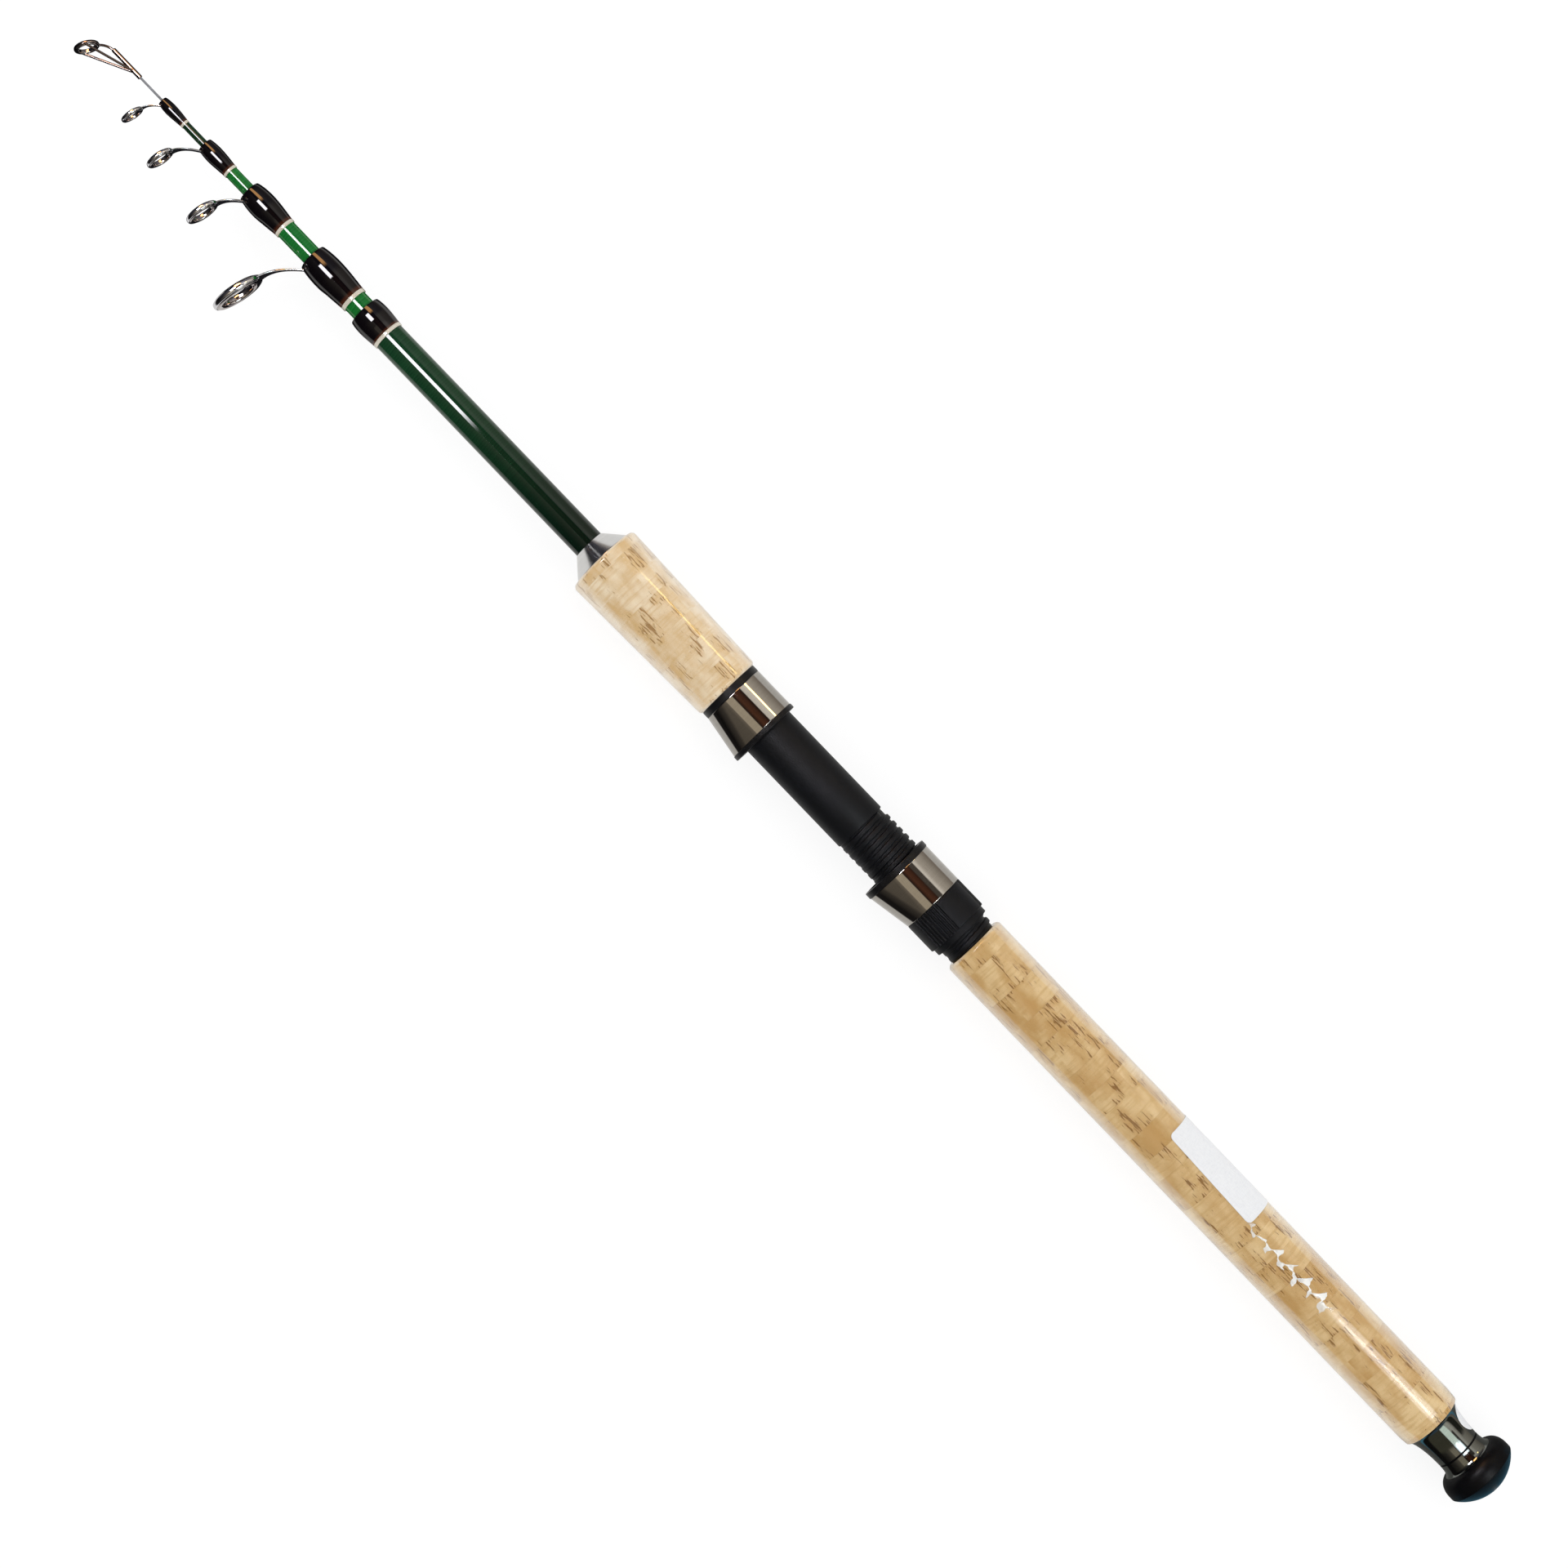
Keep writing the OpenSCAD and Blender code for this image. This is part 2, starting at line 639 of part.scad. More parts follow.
// Places of guide k's ring centre, and of the root of its leg
function ring_x(k) = front_x(k) + guide_reach[k - 1];
function root_x(k) = front_x(k) - leg_back[k - 1];
function foot_y(k) = fit_r(k, root_x(k) - foot_len[k - 1]) + bond_gap;

// Sets a shape, drawn about Z, at a ring that leans towards the tip
module at_ring(x, y, rake) {
    translate([x, y, 0]) rotate([0, 0, -rake]) rotate([0, 90, 0]) children();
}

// A wear ring with rounded lips and a straight land inside
module wear_ring(hole_d, outer_d) {
    t = (outer_d - hole_d) / 2;
    rotate_extrude()
        translate([hole_d / 2 + t / 2, 0]) {
            square([t, ring_land], center = true);
            translate([0, ring_land / 2]) circle(t / 2);
            translate([0, -ring_land / 2]) circle(t / 2);
        }
}

// Outline of guide k's foot and leg from the side, grown by a clearance. The leg curves out of the
// foot into line with the ring and thickens towards it. Where it cuts the whipping it runs in to the axis.
function stem_outline(k, grow, cuts) =
    let (i = k - 1,
        lean = [sin(guide_rake), cos(guide_rake)],
        end = [ring_x(k), guide_height[i]] - lean * (guide_ring_d[i] - band_t) / 2,
        start = [root_x(k), foot_y(k) + foot_t[i] / 2],
        bend = end - lean * norm(end - start) * leg_bend,
        side = function(t, way)
            let (d = (1 - t) * (bend - start) + t * (end - bend), u = d / norm(d))
            pow(1 - t, 2) * start + 2 * t * (1 - t) * bend + pow(t, 2) * end
                + way * [-u[1], u[0]] * (blend(foot_t[i], leg_t[i], sqrt(t)) / 2 + grow),
        under = [for (j = [1 : arc_steps]) side(j / arc_steps, -1)],
        over = [for (j = [arc_steps : -1 : 1]) side(j / arc_steps, 1)],
        heel_x = start[0] - foot_len[i] - grow,
        low = cuts ? 0 : foot_y(k) - grow,
        high = foot_y(k) + foot_t[i] + grow)
    concat([[heel_x, low], [cuts ? under[0][0] : start[0], low]], under, over,
        [[start[0] - foot_t[i], high], [heel_x, high]]);

// A guide's foot and leg
module guide_stem(k, grow, cuts) {
    width = leg_w[k - 1] + 2 * grow;
    translate([0, 0, -width / 2]) linear_extrude(width) polygon(stem_outline(k, grow, cuts));
}

module section_blank(k) {
    color("#1f7a38") blank(k);
}

module section_whipping(k) {
    i = k - 1;
    color("#1c1512")
        difference() {
            whipping(k, wrap_len[i], wrap_build[i], trim_build[i]);
            rotate([guide_roll[i], 0, 0]) guide_stem(k, bond_gap, true);
        }
}

module section_trim_band(k) {
    i = k - 1;
    color("#e9e3d2") trim_band(k, wrap_len[i], trim_len[i], trim_build[i]);
}

// A stamped guide frame: foot and leg, and the band that holds the ring
module guide_frame(k) {
    i = k - 1;
    r = guide_ring_d[i] / 2;
    color("#9a9ca2")
        rotate([guide_roll[i], 0, 0])
            difference() {
                union() {
                    guide_stem(k, 0, false);
                    at_ring(ring_x(k), guide_height[i], guide_rake)
                        cylinder(h = band_w[i], r = r, center = true);
                }
                at_ring(ring_x(k), guide_height[i], guide_rake)
                    cylinder(h = band_w[i] + 2 * past, r = r - band_t, center = true);
            }
}

module guide_ring(k) {
    i = k - 1;
    color("#c9cbd0")
        rotate([guide_roll[i], 0, 0])
            at_ring(ring_x(k), guide_height[i], guide_rake)
                wear_ring(guide_hole_d[i], guide_ring_d[i] - 2 * (band_t + bond_gap));
}

module tip_blank() {
    x0 = nest_x;
    x1 = front_x(TIP);
    color("#84878a") spin([[0, x0], [blank_r(TIP, x0), x0], [blank_r(TIP, x1), x1], [0, x1]]);
}

// Ends of the tip top's tube and the centre of its ring
tube_x = front_x(TIP - 1) + tip_bare;
tube_front_x = tube_x + tube_len;
tip_ring_x = tube_front_x + tip_reach;

// A round wire from one point to another
module wire(a, b) {
    d = b - a;
    translate(a)
        rotate([0, acos(d[2] / norm(d)), atan2(d[1], d[0])]) cylinder(h = norm(d), d = wire_d);
}

// The tip top: a tube over the tip, a bridge and two side legs, and the band that holds the ring
module tip_top_frame() {
    r = tip_ring_d / 2;
    seat_r = r - band_t;
    lean = [sin(tip_rake), cos(tip_rake), 0];
    centre = [tip_ring_x, tip_height, 0];
    mid_r = r - band_t / 2;
    bridge_x = tube_front_x - wire_d;
    tube_r = fit_r(TIP, tube_x);
    color("#9a9ca2")
        rotate([tip_roll, 0, 0])
            difference() {
                union() {
                    collar(tube_x, tube_front_x, 0, tube_d / 2);
                    wire([bridge_x, wire_d / 2, 0], centre - lean * mid_r);
                    for (side = [-1, 1])
                        wire([tube_x + leg_root, wire_d / 2, side * wire_d / 2],
                            centre + lean * mid_r * cos(leg_spread) + [0, 0, side * mid_r * sin(leg_spread)]);
                    at_ring(tip_ring_x, tip_height, tip_rake)
                        cylinder(h = tip_band_w, r = r, center = true);
                }
                at_ring(tip_ring_x, tip_height, tip_rake)
                    cylinder(h = tip_band_w + 4 * wire_d, r = seat_r, center = true);
                collar(tube_x - past, front_x(TIP) + bond_gap, 0, tube_r);
            }
}

module tip_top_ring() {
    color("#c9cbd0")
        rotate([tip_roll, 0, 0])
            at_ring(tip_ring_x, tip_height, tip_rake)
                wear_ring(tip_hole_d, tip_ring_d - 2 * (band_t + bond_gap));
}

base_blank();
base_whipping();
base_trim_band();
winding_check();
fore_grip();
fore_grip_film();
seat_washer();
front_hood_shell();
front_hood_liner();
seat_barrel();
seat_arbors();
rear_grip();
rear_grip_film();
butt_collar();
sliding_hood_shell();
sliding_hood_liner();
lock_nut();
butt_seal();
butt_cap();
butt_button();
butt_pad();
for (k = GUIDED) {
    name = str("section_", k + 1, "_");
    section_blank(k);
    section_whipping(k);
    section_trim_band(k);
    guide_frame(k);
    guide_ring(k);
}
tip_blank();
tip_top_frame();
tip_top_ring();
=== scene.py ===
"""Dresses a telescopic spinning rod, closed for carrying, and sets it in a pale studio.

The rod lies along X with its butt end at the origin and its tip towards +X. The line guides and the
reel foot are on the +Y side, and +Z is up as the rod lies on its side. Sizes in the classes are in
millimetres, and each mesh is made in metres.
"""

from __future__ import annotations

import json
import logging
import math
from abc import ABC, abstractmethod
from dataclasses import dataclass, replace
from enum import Enum
from typing import Any, Callable, ClassVar, Iterable

import bpy
import numpy as np
from numpy.typing import NDArray
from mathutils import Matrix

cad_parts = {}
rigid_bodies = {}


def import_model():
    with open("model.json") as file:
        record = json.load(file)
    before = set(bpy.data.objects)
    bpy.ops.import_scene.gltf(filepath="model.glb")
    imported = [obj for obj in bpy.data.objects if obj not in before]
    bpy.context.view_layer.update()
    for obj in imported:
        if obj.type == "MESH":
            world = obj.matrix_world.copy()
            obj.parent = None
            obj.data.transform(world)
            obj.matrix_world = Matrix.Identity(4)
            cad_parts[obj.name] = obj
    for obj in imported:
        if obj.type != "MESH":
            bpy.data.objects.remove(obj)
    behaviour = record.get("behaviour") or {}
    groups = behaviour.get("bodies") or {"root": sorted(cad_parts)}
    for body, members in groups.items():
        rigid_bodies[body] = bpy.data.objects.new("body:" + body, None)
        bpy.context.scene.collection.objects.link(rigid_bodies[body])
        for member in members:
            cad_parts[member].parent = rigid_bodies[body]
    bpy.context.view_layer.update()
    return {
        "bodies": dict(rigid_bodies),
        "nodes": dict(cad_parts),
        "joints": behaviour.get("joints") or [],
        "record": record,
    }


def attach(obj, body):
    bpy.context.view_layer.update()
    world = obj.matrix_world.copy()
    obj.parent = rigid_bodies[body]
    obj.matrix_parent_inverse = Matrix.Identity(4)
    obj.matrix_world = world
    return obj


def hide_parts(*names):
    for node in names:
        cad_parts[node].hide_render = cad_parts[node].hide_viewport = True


LOG = logging.getLogger("rod")
MM = 0.001  # a millimetre in metres
TURN = 2.0 * math.pi
ALONG = np.array([1.0, 0.0, 0.0])
UP = np.array([0.0, 0.0, 1.0])
SIDES = 96  # columns of a turned piece
WIRE_SIDES = 32
WIRE_ROWS = 12
BOND = 0.02  # gap between faces that are glued
MOST_ROUNDING = 0.4  # share of an edge that a rounding may take
GUARD = 1.15  # place of a guard point, in roundings from the corner
SAME_POINT = 1e-6
LEAST_STEP = 1e-9
RUN_OUT = 8.0  # a ridge runs out within a turn divided by this
SHARP_DEGREES = 34.0

Array = NDArray[np.float64]
Triple = tuple[float, float, float]
Colour = Triple
Outline = list[Triple]
Socket = bpy.types.NodeSocket


def even_angles(count: int) -> Array:
    """Returns so many angles in even steps round a full turn."""
    return np.linspace(0.0, TURN, count, endpoint=False)


def quarter(count: int) -> Array:
    """Returns so many angles in even steps from 0 to a right angle."""
    return np.radians(np.linspace(0.0, 90.0, count))


def apart(angle: Array, other: Any) -> Array:
    """Returns the way from another angle to an angle, half a turn at most."""
    return np.angle(np.exp(1j * (angle - other)))


def sin_cos(degrees: float) -> tuple[float, float]:
    """Returns the sine and the cosine of an angle in degrees."""
    return math.sin(math.radians(degrees)), math.cos(math.radians(degrees))


def held(value: Array) -> Array:
    """Returns the value held between 0 and 1."""
    return np.clip(value, 0.0, 1.0)


def unit(rows: Array) -> Array:
    """Returns each row at a length of 1."""
    return rows / np.linalg.norm(rows, axis=1)[:, None]


def curved(t: Array, start: Array, bend: Array, end: Array) -> Array:
    """Returns the quadratic curve (1-t)^2 start + 2t(1-t) bend + t^2 end."""
    return (1 - t) ** 2 * start + 2 * t * (1 - t) * bend + t ** 2 * end


def cornered(place: Array, radius: Array) -> Outline:
    """Returns an outline of points without rounding."""
    return [(x, r, 0.0) for x, r in zip(place, radius)]


@dataclass
class Skin:
    """A closed surface before it becomes a mesh.

    Attributes:
        points: Corner points, one row each.
        quads: Faces of four corners, as rows of point numbers.
        tris: Faces of three corners, as rows of point numbers.
        quad_uv: Place of each quad corner on the surface, from 0 to 1 both ways.
        tri_uv: Place of each triangle corner on the surface.
    """

    points: Array
    quads: NDArray[np.int64]
    tris: NDArray[np.int64]
    quad_uv: Array
    tri_uv: Array

    def outward(self) -> Skin:
        """Turns the faces outwards.

        The signed volume is the sum over triangles of corner a times (b cross c), divided by six.
        Where it is negative the faces point inwards, and the order of their corners is reversed.

        Returns:
            The skin with its faces outwards.
        """
        fans = np.concatenate([self.quads[:, [0, 1, 2]], self.quads[:, [0, 2, 3]], self.tris])
        a, b, c = (self.points[fans[:, i]] for i in range(3))
        if np.einsum("ij,ij->", a, np.cross(b, c)) < 0.0:
            return Skin(self.points, self.quads[:, ::-1], self.tris[:, ::-1],
                        self.quad_uv[:, ::-1], self.tri_uv[:, ::-1])
        return self

    def placed(self, shift: Triple, lean: float = 0.0) -> Skin:
        """Leans the skin about Z and then moves it.

        Args:
            shift: Move along X, Y and Z.
            lean: Angle in degrees by which +Y leans towards +X.

        Returns:
            The placed skin.
        """
        s, c = sin_cos(lean)
        turn = np.array([[c, s, 0.0], [-s, c, 0.0], [0.0, 0.0, 1.0]])
        return replace(self, points=self.points @ turn.T + np.array(shift))

    def rolled(self, degrees: float) -> Skin:
        """Turns the skin about the rod axis.

        Args:
            degrees: Angle from +Y towards +Z.

        Returns:
            The turned skin.
        """
        s, c = sin_cos(degrees)
        turn = np.array([[1.0, 0.0, 0.0], [0.0, c, -s], [0.0, s, c]])
        return replace(self, points=self.points @ turn.T)

    @staticmethod
    def joined(skins: Iterable[Skin]) -> Skin:
        """Puts several skins into one, which keeps each of them closed.

        Args:
            skins: The skins to join.

        Returns:
            One skin with all their faces.
        """
        parts = list(skins)
        starts = np.cumsum([0] + [len(p.points) for p in parts[:-1]])
        return Skin(
            np.concatenate([p.points for p in parts]),
            np.concatenate([p.quads + s for p, s in zip(parts, starts)]),
            np.concatenate([p.tris + s for p, s in zip(parts, starts)]),
            np.concatenate([p.quad_uv for p in parts]),
            np.concatenate([p.tri_uv for p in parts]))


def eased(outline: Outline, steps: int = 6) -> Array:
    """Rounds the corners of an outline of (place, radius, rounding) points.

    A corner becomes a quadratic curve that bends towards it, and whose ends lie on the two edges
    at the rounding from it. A guard point beyond each end keeps flats flat.

    Args:
        outline: Corner points in order, each with its rounding.
        steps: Points on each rounded corner.

    Returns:
        Rows of (place, radius) without doubles.
    """
    rows = np.array(outline, dtype=float)
    corner = rows[:, :2]
    edges = [np.roll(corner, step, axis=0) - corner for step in (1, -1)]
    lengths = [np.linalg.norm(edge, axis=1) for edge in edges]
    reach = np.minimum(rows[:, 2], MOST_ROUNDING * np.minimum(*lengths))
    back, fore = (edge / size[:, None] * reach[:, None] for edge, size in zip(edges, lengths))
    t = np.linspace(0.0, 1.0, steps)[None, :, None]
    curve = curved(t, (corner + back)[:, None], corner[:, None], (corner + fore)[:, None])
    guards = [(corner + GUARD * way)[:, None] for way in (back, fore)]
    points = np.concatenate([guards[0], curve, guards[1]], axis=1).reshape(-1, 2)
    new = np.linalg.norm(np.diff(points, axis=0), axis=1) > SAME_POINT
    return points[np.concatenate([[True], new])]


def woven(points: Array, capped: bool) -> Skin:
    """Closes a grid of points into a skin.

    A quad joins (row, col) to its neighbours in the next column and the next row. Columns wrap
    round. Rows wrap round as well, or, in a capped grid, the first and last row are single points,
    and triangles fan out from them.

    Args:
        points: Grid of points by row and column.
        capped: Whether the first and last row each close to their mean point.

    Returns:
        The closed skin, faces outwards.
    """
    poles = [points[0].mean(axis=0), points[-1].mean(axis=0)]
    body = points[1:-1] if capped else points
    rows, cols = body.shape[:2]
    i, j = np.meshgrid(np.arange(rows - 1 if capped else rows), np.arange(cols), indexing="ij")
    low, high = i * cols, (i + 1) % rows * cols
    near, far = j, (j + 1) % cols
    quads = np.stack([low + near, low + far, high + far, high + near], axis=-1).reshape(-1, 4)
    u, v = j / cols, i / rows
    corners = [(u, v), (u + 1 / cols, v), (u + 1 / cols, v + 1 / rows), (u, v + 1 / rows)]
    quad_uv = np.stack([np.stack(c, axis=-1) for c in corners], axis=-2).reshape(-1, 4, 2)
    flat, tris, tri_uv = body.reshape(-1, 3), np.zeros((0, 3), int), np.zeros((0, 3, 2))
    if capped:
        here = np.arange(cols)
        there, last, n = (here + 1) % cols, (rows - 1) * cols, len(flat)
        first_fan = np.stack([np.full(cols, n), there, here], axis=-1)
        last_fan = np.stack([last + here, last + there, np.full(cols, n + 1)], axis=-1)
        flat = np.concatenate([flat, np.array(poles)])
        tris = np.concatenate([first_fan, last_fan])
        fan_uv = np.stack([here / cols, here * 0.0], axis=-1)[:, None, :].repeat(3, axis=1)
        tri_uv = np.concatenate([fan_uv, fan_uv + np.array([0.0, 1.0])])
    return Skin(flat, quads, tris, quad_uv, tri_uv).outward()


def revolved(place: Array, radius: Array, angles: Array | None = None,
             capped: bool = False) -> Skin:
    """Turns a profile about the rod axis: the point is (x, r cos a, r sin a).

    Args:
        place: Place along the rod of each row.
        radius: Radius of each row, or of each row and angle.
        angles: Angles of the columns, from +Y towards +Z. Even steps where left out.
        capped: Whether the profile starts and ends on the axis.

    Returns:
        The surface of revolution, closed.
    """
    a = even_angles(SIDES) if angles is None else angles
    r = radius if radius.ndim == 2 else np.repeat(radius[:, None], len(a), axis=1)
    x = np.repeat(place[:, None], len(a), axis=1)
    return woven(np.stack([x, r * np.cos(a), r * np.sin(a)], axis=-1), capped)


def lathe(outline: Outline, capped: bool = False) -> Skin:
    """Turns an outline with rounded corners about the rod axis.

    Args:
        outline: Points of (place, radius, rounding) in order.
        capped: Whether the outline starts and ends on the axis.

    Returns:
        The turned skin.
    """
    rows = eased(outline)
    return revolved(rows[:, 0], rows[:, 1], capped=capped)


def swept(path: Array, out: Array, width: Array, thick: Array, power: float,
          hug: float = 0.0) -> Skin:
    """Carries a rounded section along a path.

    The section is a superellipse, w = width/2 sign(cos a)|cos a|^(2/power) along the side and
    n = thick/2 sign(sin a)|sin a|^(2/power) along the out direction. Near the end of a strip that
    hugs a ring of radius h, a point moves on along the path by t^2 (h - sqrt(h^2 - w^2)).

    Args:
        path: Points of the middle line.
        out: Direction of the thickness at each point, at right angles to the path.
        width: Width of the section at each point.
        thick: Thickness of the section at each point.
        power: Squareness of the section, 2 for an ellipse and more for a strip.
        hug: Radius of the ring that the end of the path hugs, or 0.

    Returns:
        The swept skin, closed at both ends.
    """
    a = even_angles(WIRE_SIDES)
    c, s = (np.sign(part) * np.abs(part) ** (2.0 / power) for part in (np.cos(a), np.sin(a)))
    along = unit(np.gradient(path, axis=0))
    side = np.cross(along, out)
    w, n = width[:, None] / 2 * c, thick[:, None] / 2 * s
    points = path[:, None] + w[..., None] * side[:, None] + n[..., None] * out[:, None]
    if hug > 0.0:
        t = np.linspace(0.0, 1.0, len(path))[:, None]
        lead = t ** 2 * (hug - np.sqrt(np.maximum(hug ** 2 - w ** 2, 0.0)))
        points = points + lead[..., None] * along[:, None]
    ends = [np.repeat(path[i][None, None], len(a), axis=1) for i in (0, -1)]
    return woven(np.concatenate([ends[0], points, ends[1]]), capped=True)


def wire(start: Array, end: Array, diameter: float, bend: Array | None = None) -> Skin:
    """Draws a round wire between two points.

    The path is a quadratic curve, which is straight where the bend point is left out.

    Args:
        start: Where the wire starts.
        end: Where it ends.
        diameter: Its diameter.
        bend: Point towards which the wire bends.

    Returns:
        The wire's skin.
    """
    t = np.linspace(0.0, 1.0, WIRE_ROWS)[:, None]
    path = curved(t, start, (start + end) / 2 if bend is None else bend, end)
    across = unit(np.cross(np.gradient(path, axis=0), UP))
    size = np.full(WIRE_ROWS, diameter)
    return swept(path, across, size, size, power=2.0)


def helix(x: Array, angle: Array, start: float, pitch: float, widths: tuple[float, float],
          turns: float) -> Array:
    """Works out the height from 0 to 1 of a ridge wound right-handed about the rod axis.

    The ridge's middle is at start + pitch (angle/turn + n) for whole n. With d the distance along
    the rod from the nearest one, the height is (foot/2 - d) / ((foot - crest)/2), held between 0
    and 1, and it fades out before the first turn and after the last.

    Args:
        x: Places along the rod, as a column.
        angle: Angles about the rod, as a row.
        start: Place of the ridge's middle at angle 0.
        pitch: Advance in one turn.
        widths: Widths of the crest and of the foot.
        turns: Number of turns.

    Returns:
        The height at each place and angle.
    """
    crest, foot = widths
    phase = (x - start) / pitch - angle / TURN
    whole = np.rint(phase)
    gap = np.abs(phase - whole) * pitch
    count = whole + angle / TURN
    ends = held(RUN_OUT * count + 0.5) * held(RUN_OUT * (turns - count) + 0.5)
    return held((foot / 2 - gap) / ((foot - crest) / 2)) * ends


class Graph:
    """Adds nodes to the tree of a material or a group and links them."""

    def __init__(self, tree: bpy.types.NodeTree) -> None:
        """Works on the given tree."""
        self.tree = tree

    def node(self, kind: str, settings: dict[str, Any] | None = None,
             inputs: dict[Any, Any] | None = None) -> bpy.types.Node:
        """Adds one node.

        Args:
            kind: Type name of the node.
            settings: Properties to set on it.
            inputs: Values or sockets for its inputs, by name or number.

        Returns:
            The new node.
        """
        made = self.tree.nodes.new(kind)
        for key, value in (settings or {}).items():
            setattr(made, key, value)
        self.fill(made, inputs or {})
        return made

    def fill(self, node: bpy.types.Node, inputs: dict[Any, Any]) -> None:
        """Links sockets to a node's inputs, or sets the inputs to constants.

        Args:
            node: The node.
            inputs: Values or sockets for its inputs, by name or number.
        """
        for key, value in inputs.items():
            socket = node.inputs[key]
            if isinstance(value, Socket):
                self.tree.links.new(value, socket)
            elif socket.type == "RGBA" and len(value) == 3:
                socket.default_value = (*value, 1.0)
            else:
                socket.default_value = value

    def out(self, kind: str, inputs: dict[Any, Any], **settings: Any) -> Socket:
        """Adds one shader node and returns its first output."""
        return self.node(f"ShaderNode{kind}", settings, inputs).outputs[0]

    def math(self, operation: str, a: Any, b: Any = 0.0, clamp: bool = False) -> Socket:
        """Returns the result of a sum on two values."""
        return self.out("Math", {0: a, 1: b}, operation=operation, use_clamp=clamp)

    def times(self, a: Any, b: Any) -> Socket:
        """Returns a times b."""
        return self.math("MULTIPLY", a, b)

    def plus(self, a: Any, b: Any) -> Socket:
        """Returns a plus b."""
        return self.math("ADD", a, b)

    def minus(self, a: Any, b: Any) -> Socket:
        """Returns a minus b."""
        return self.math("SUBTRACT", a, b)

    def affine(self, value: Any, factor: float, offset: float) -> Socket:
        """Returns the value times a factor plus an offset."""
        return self.out("Math", {0: value, 1: factor, 2: offset}, operation="MULTIPLY_ADD")

    def turned(self, y: Any, z: Any) -> Socket:
        """Returns the angle about the rod in turns, from +Y towards +Z."""
        return self.math("DIVIDE", self.math("ARCTAN2", z, y), TURN)

    def blend(self, share: Any, a: Any, b: Any, mode: str = "MIX") -> Socket:
        """Returns colour a mixed with colour b by a share from 0 to 1."""
        settings = {"data_type": "RGBA", "blend_type": mode}
        return self.node("ShaderNodeMix", settings, {0: share, 6: a, 7: b}).outputs[2]

    def span(self, value: Any, low: Any, high: Any, to: tuple[float, float] = (0.0, 1.0)) -> Socket:
        """Returns the value eased from the range of low to high to another range."""
        inputs = dict(enumerate((value, low, high, *to)))
        return self.out("MapRange", inputs, interpolation_type="SMOOTHSTEP")

    def band(self, value: Any, low: float, high: float, soft: float) -> Socket:
        """Returns 1 where the value lies between low and high, with soft edges."""
        rise = self.span(value, low - soft, low + soft)
        return self.times(rise, self.span(value, high + soft, high - soft))

    def noise(self, vector: Any, waves: Triple, detail: float = 2.0) -> Socket:
        """Returns smooth noise from 0 to 1 with so many waves a metre along each axis."""
        scaled = self.out("VectorMath", {0: vector, 1: waves}, operation="MULTIPLY")
        return self.out("TexNoise", {"Vector": scaled, "Scale": 1.0, "Detail": detail})

    def chance(self, x: Any, y: Any) -> Socket:
        """Returns a fixed random number from 0 to 1 for a pair of whole numbers."""
        pair = self.out("CombineXYZ", {0: x, 1: y, 2: 0.0})
        return self.out("TexWhiteNoise", {"Vector": pair}, noise_dimensions="2D")

    def parts(self, vector: Any) -> tuple[Socket, ...]:
        """Returns the three parts of a vector."""
        return tuple(self.node("ShaderNodeSeparateXYZ", None, {0: vector}).outputs)

    def ramp(self, value: Any, stops: list[tuple[float, Colour]]) -> Socket:
        """Finds the colour at a value between coloured stops.

        Args:
            value: Socket with the value from 0 to 1.
            stops: Places and colours in rising order.

        Returns:
            The colour socket.
        """
        made = self.node("ShaderNodeValToRGB", None, {0: value})
        marks = made.color_ramp.elements
        for place, _ in stops[2:]:
            marks.new(place)
        for mark, (place, colour) in zip(marks, stops):
            mark.position, mark.color = place, (*colour, 1.0)
        return made.outputs[0]

    def here(self) -> Socket:
        """Returns the place on the piece, in metres in the rod's frame."""
        return self.node("ShaderNodeTexCoord").outputs["Object"]

    def bump(self, height: Any, depth: float, strength: float = 1.0) -> Socket:
        """Returns the normal of a surface whose relief is so many millimetres deep."""
        return self.out("Bump", {"Height": height, "Distance": depth * MM, "Strength": strength})


class Effect(ABC):
    """A surface effect that several finishes share, kept as one node group."""

    name: ClassVar[str]
    takes: ClassVar[dict[str, str]]  # kinds of its inputs by name, besides the place
    gives: ClassVar[dict[str, str]]  # kinds of its outputs by name

    @classmethod
    @abstractmethod
    def wire(cls, graph: Graph, given: Any) -> dict[str, Socket]:
        """Builds the inside of the group and returns its outputs by name."""

    @classmethod
    def tree(cls) -> bpy.types.NodeTree:
        """Makes the node group once.

        Returns:
            The group's tree.
        """
        found = bpy.data.node_groups.get(cls.name)
        if found:
            return found
        made = bpy.data.node_groups.new(cls.name, "ShaderNodeTree")
        takes = {"Vector": "Vector", **cls.takes}
        for way, sockets in (("INPUT", takes), ("OUTPUT", cls.gives)):
            for label, kind in sockets.items():
                made.interface.new_socket(name=label, in_out=way, socket_type=f"NodeSocket{kind}")
        graph = Graph(made)
        outputs = cls.wire(graph, graph.node("NodeGroupInput").outputs)
        graph.node("NodeGroupOutput", None, outputs)
        return made

    @classmethod
    def place(cls, graph: Graph, values: dict[str, Any]) -> Any:
        """Sets the group in a material with the finish's own values and returns its outputs."""
        values = {"Vector": graph.here(), **values}
        return graph.node("ShaderNodeGroup", {"node_tree": cls.tree()}, values).outputs


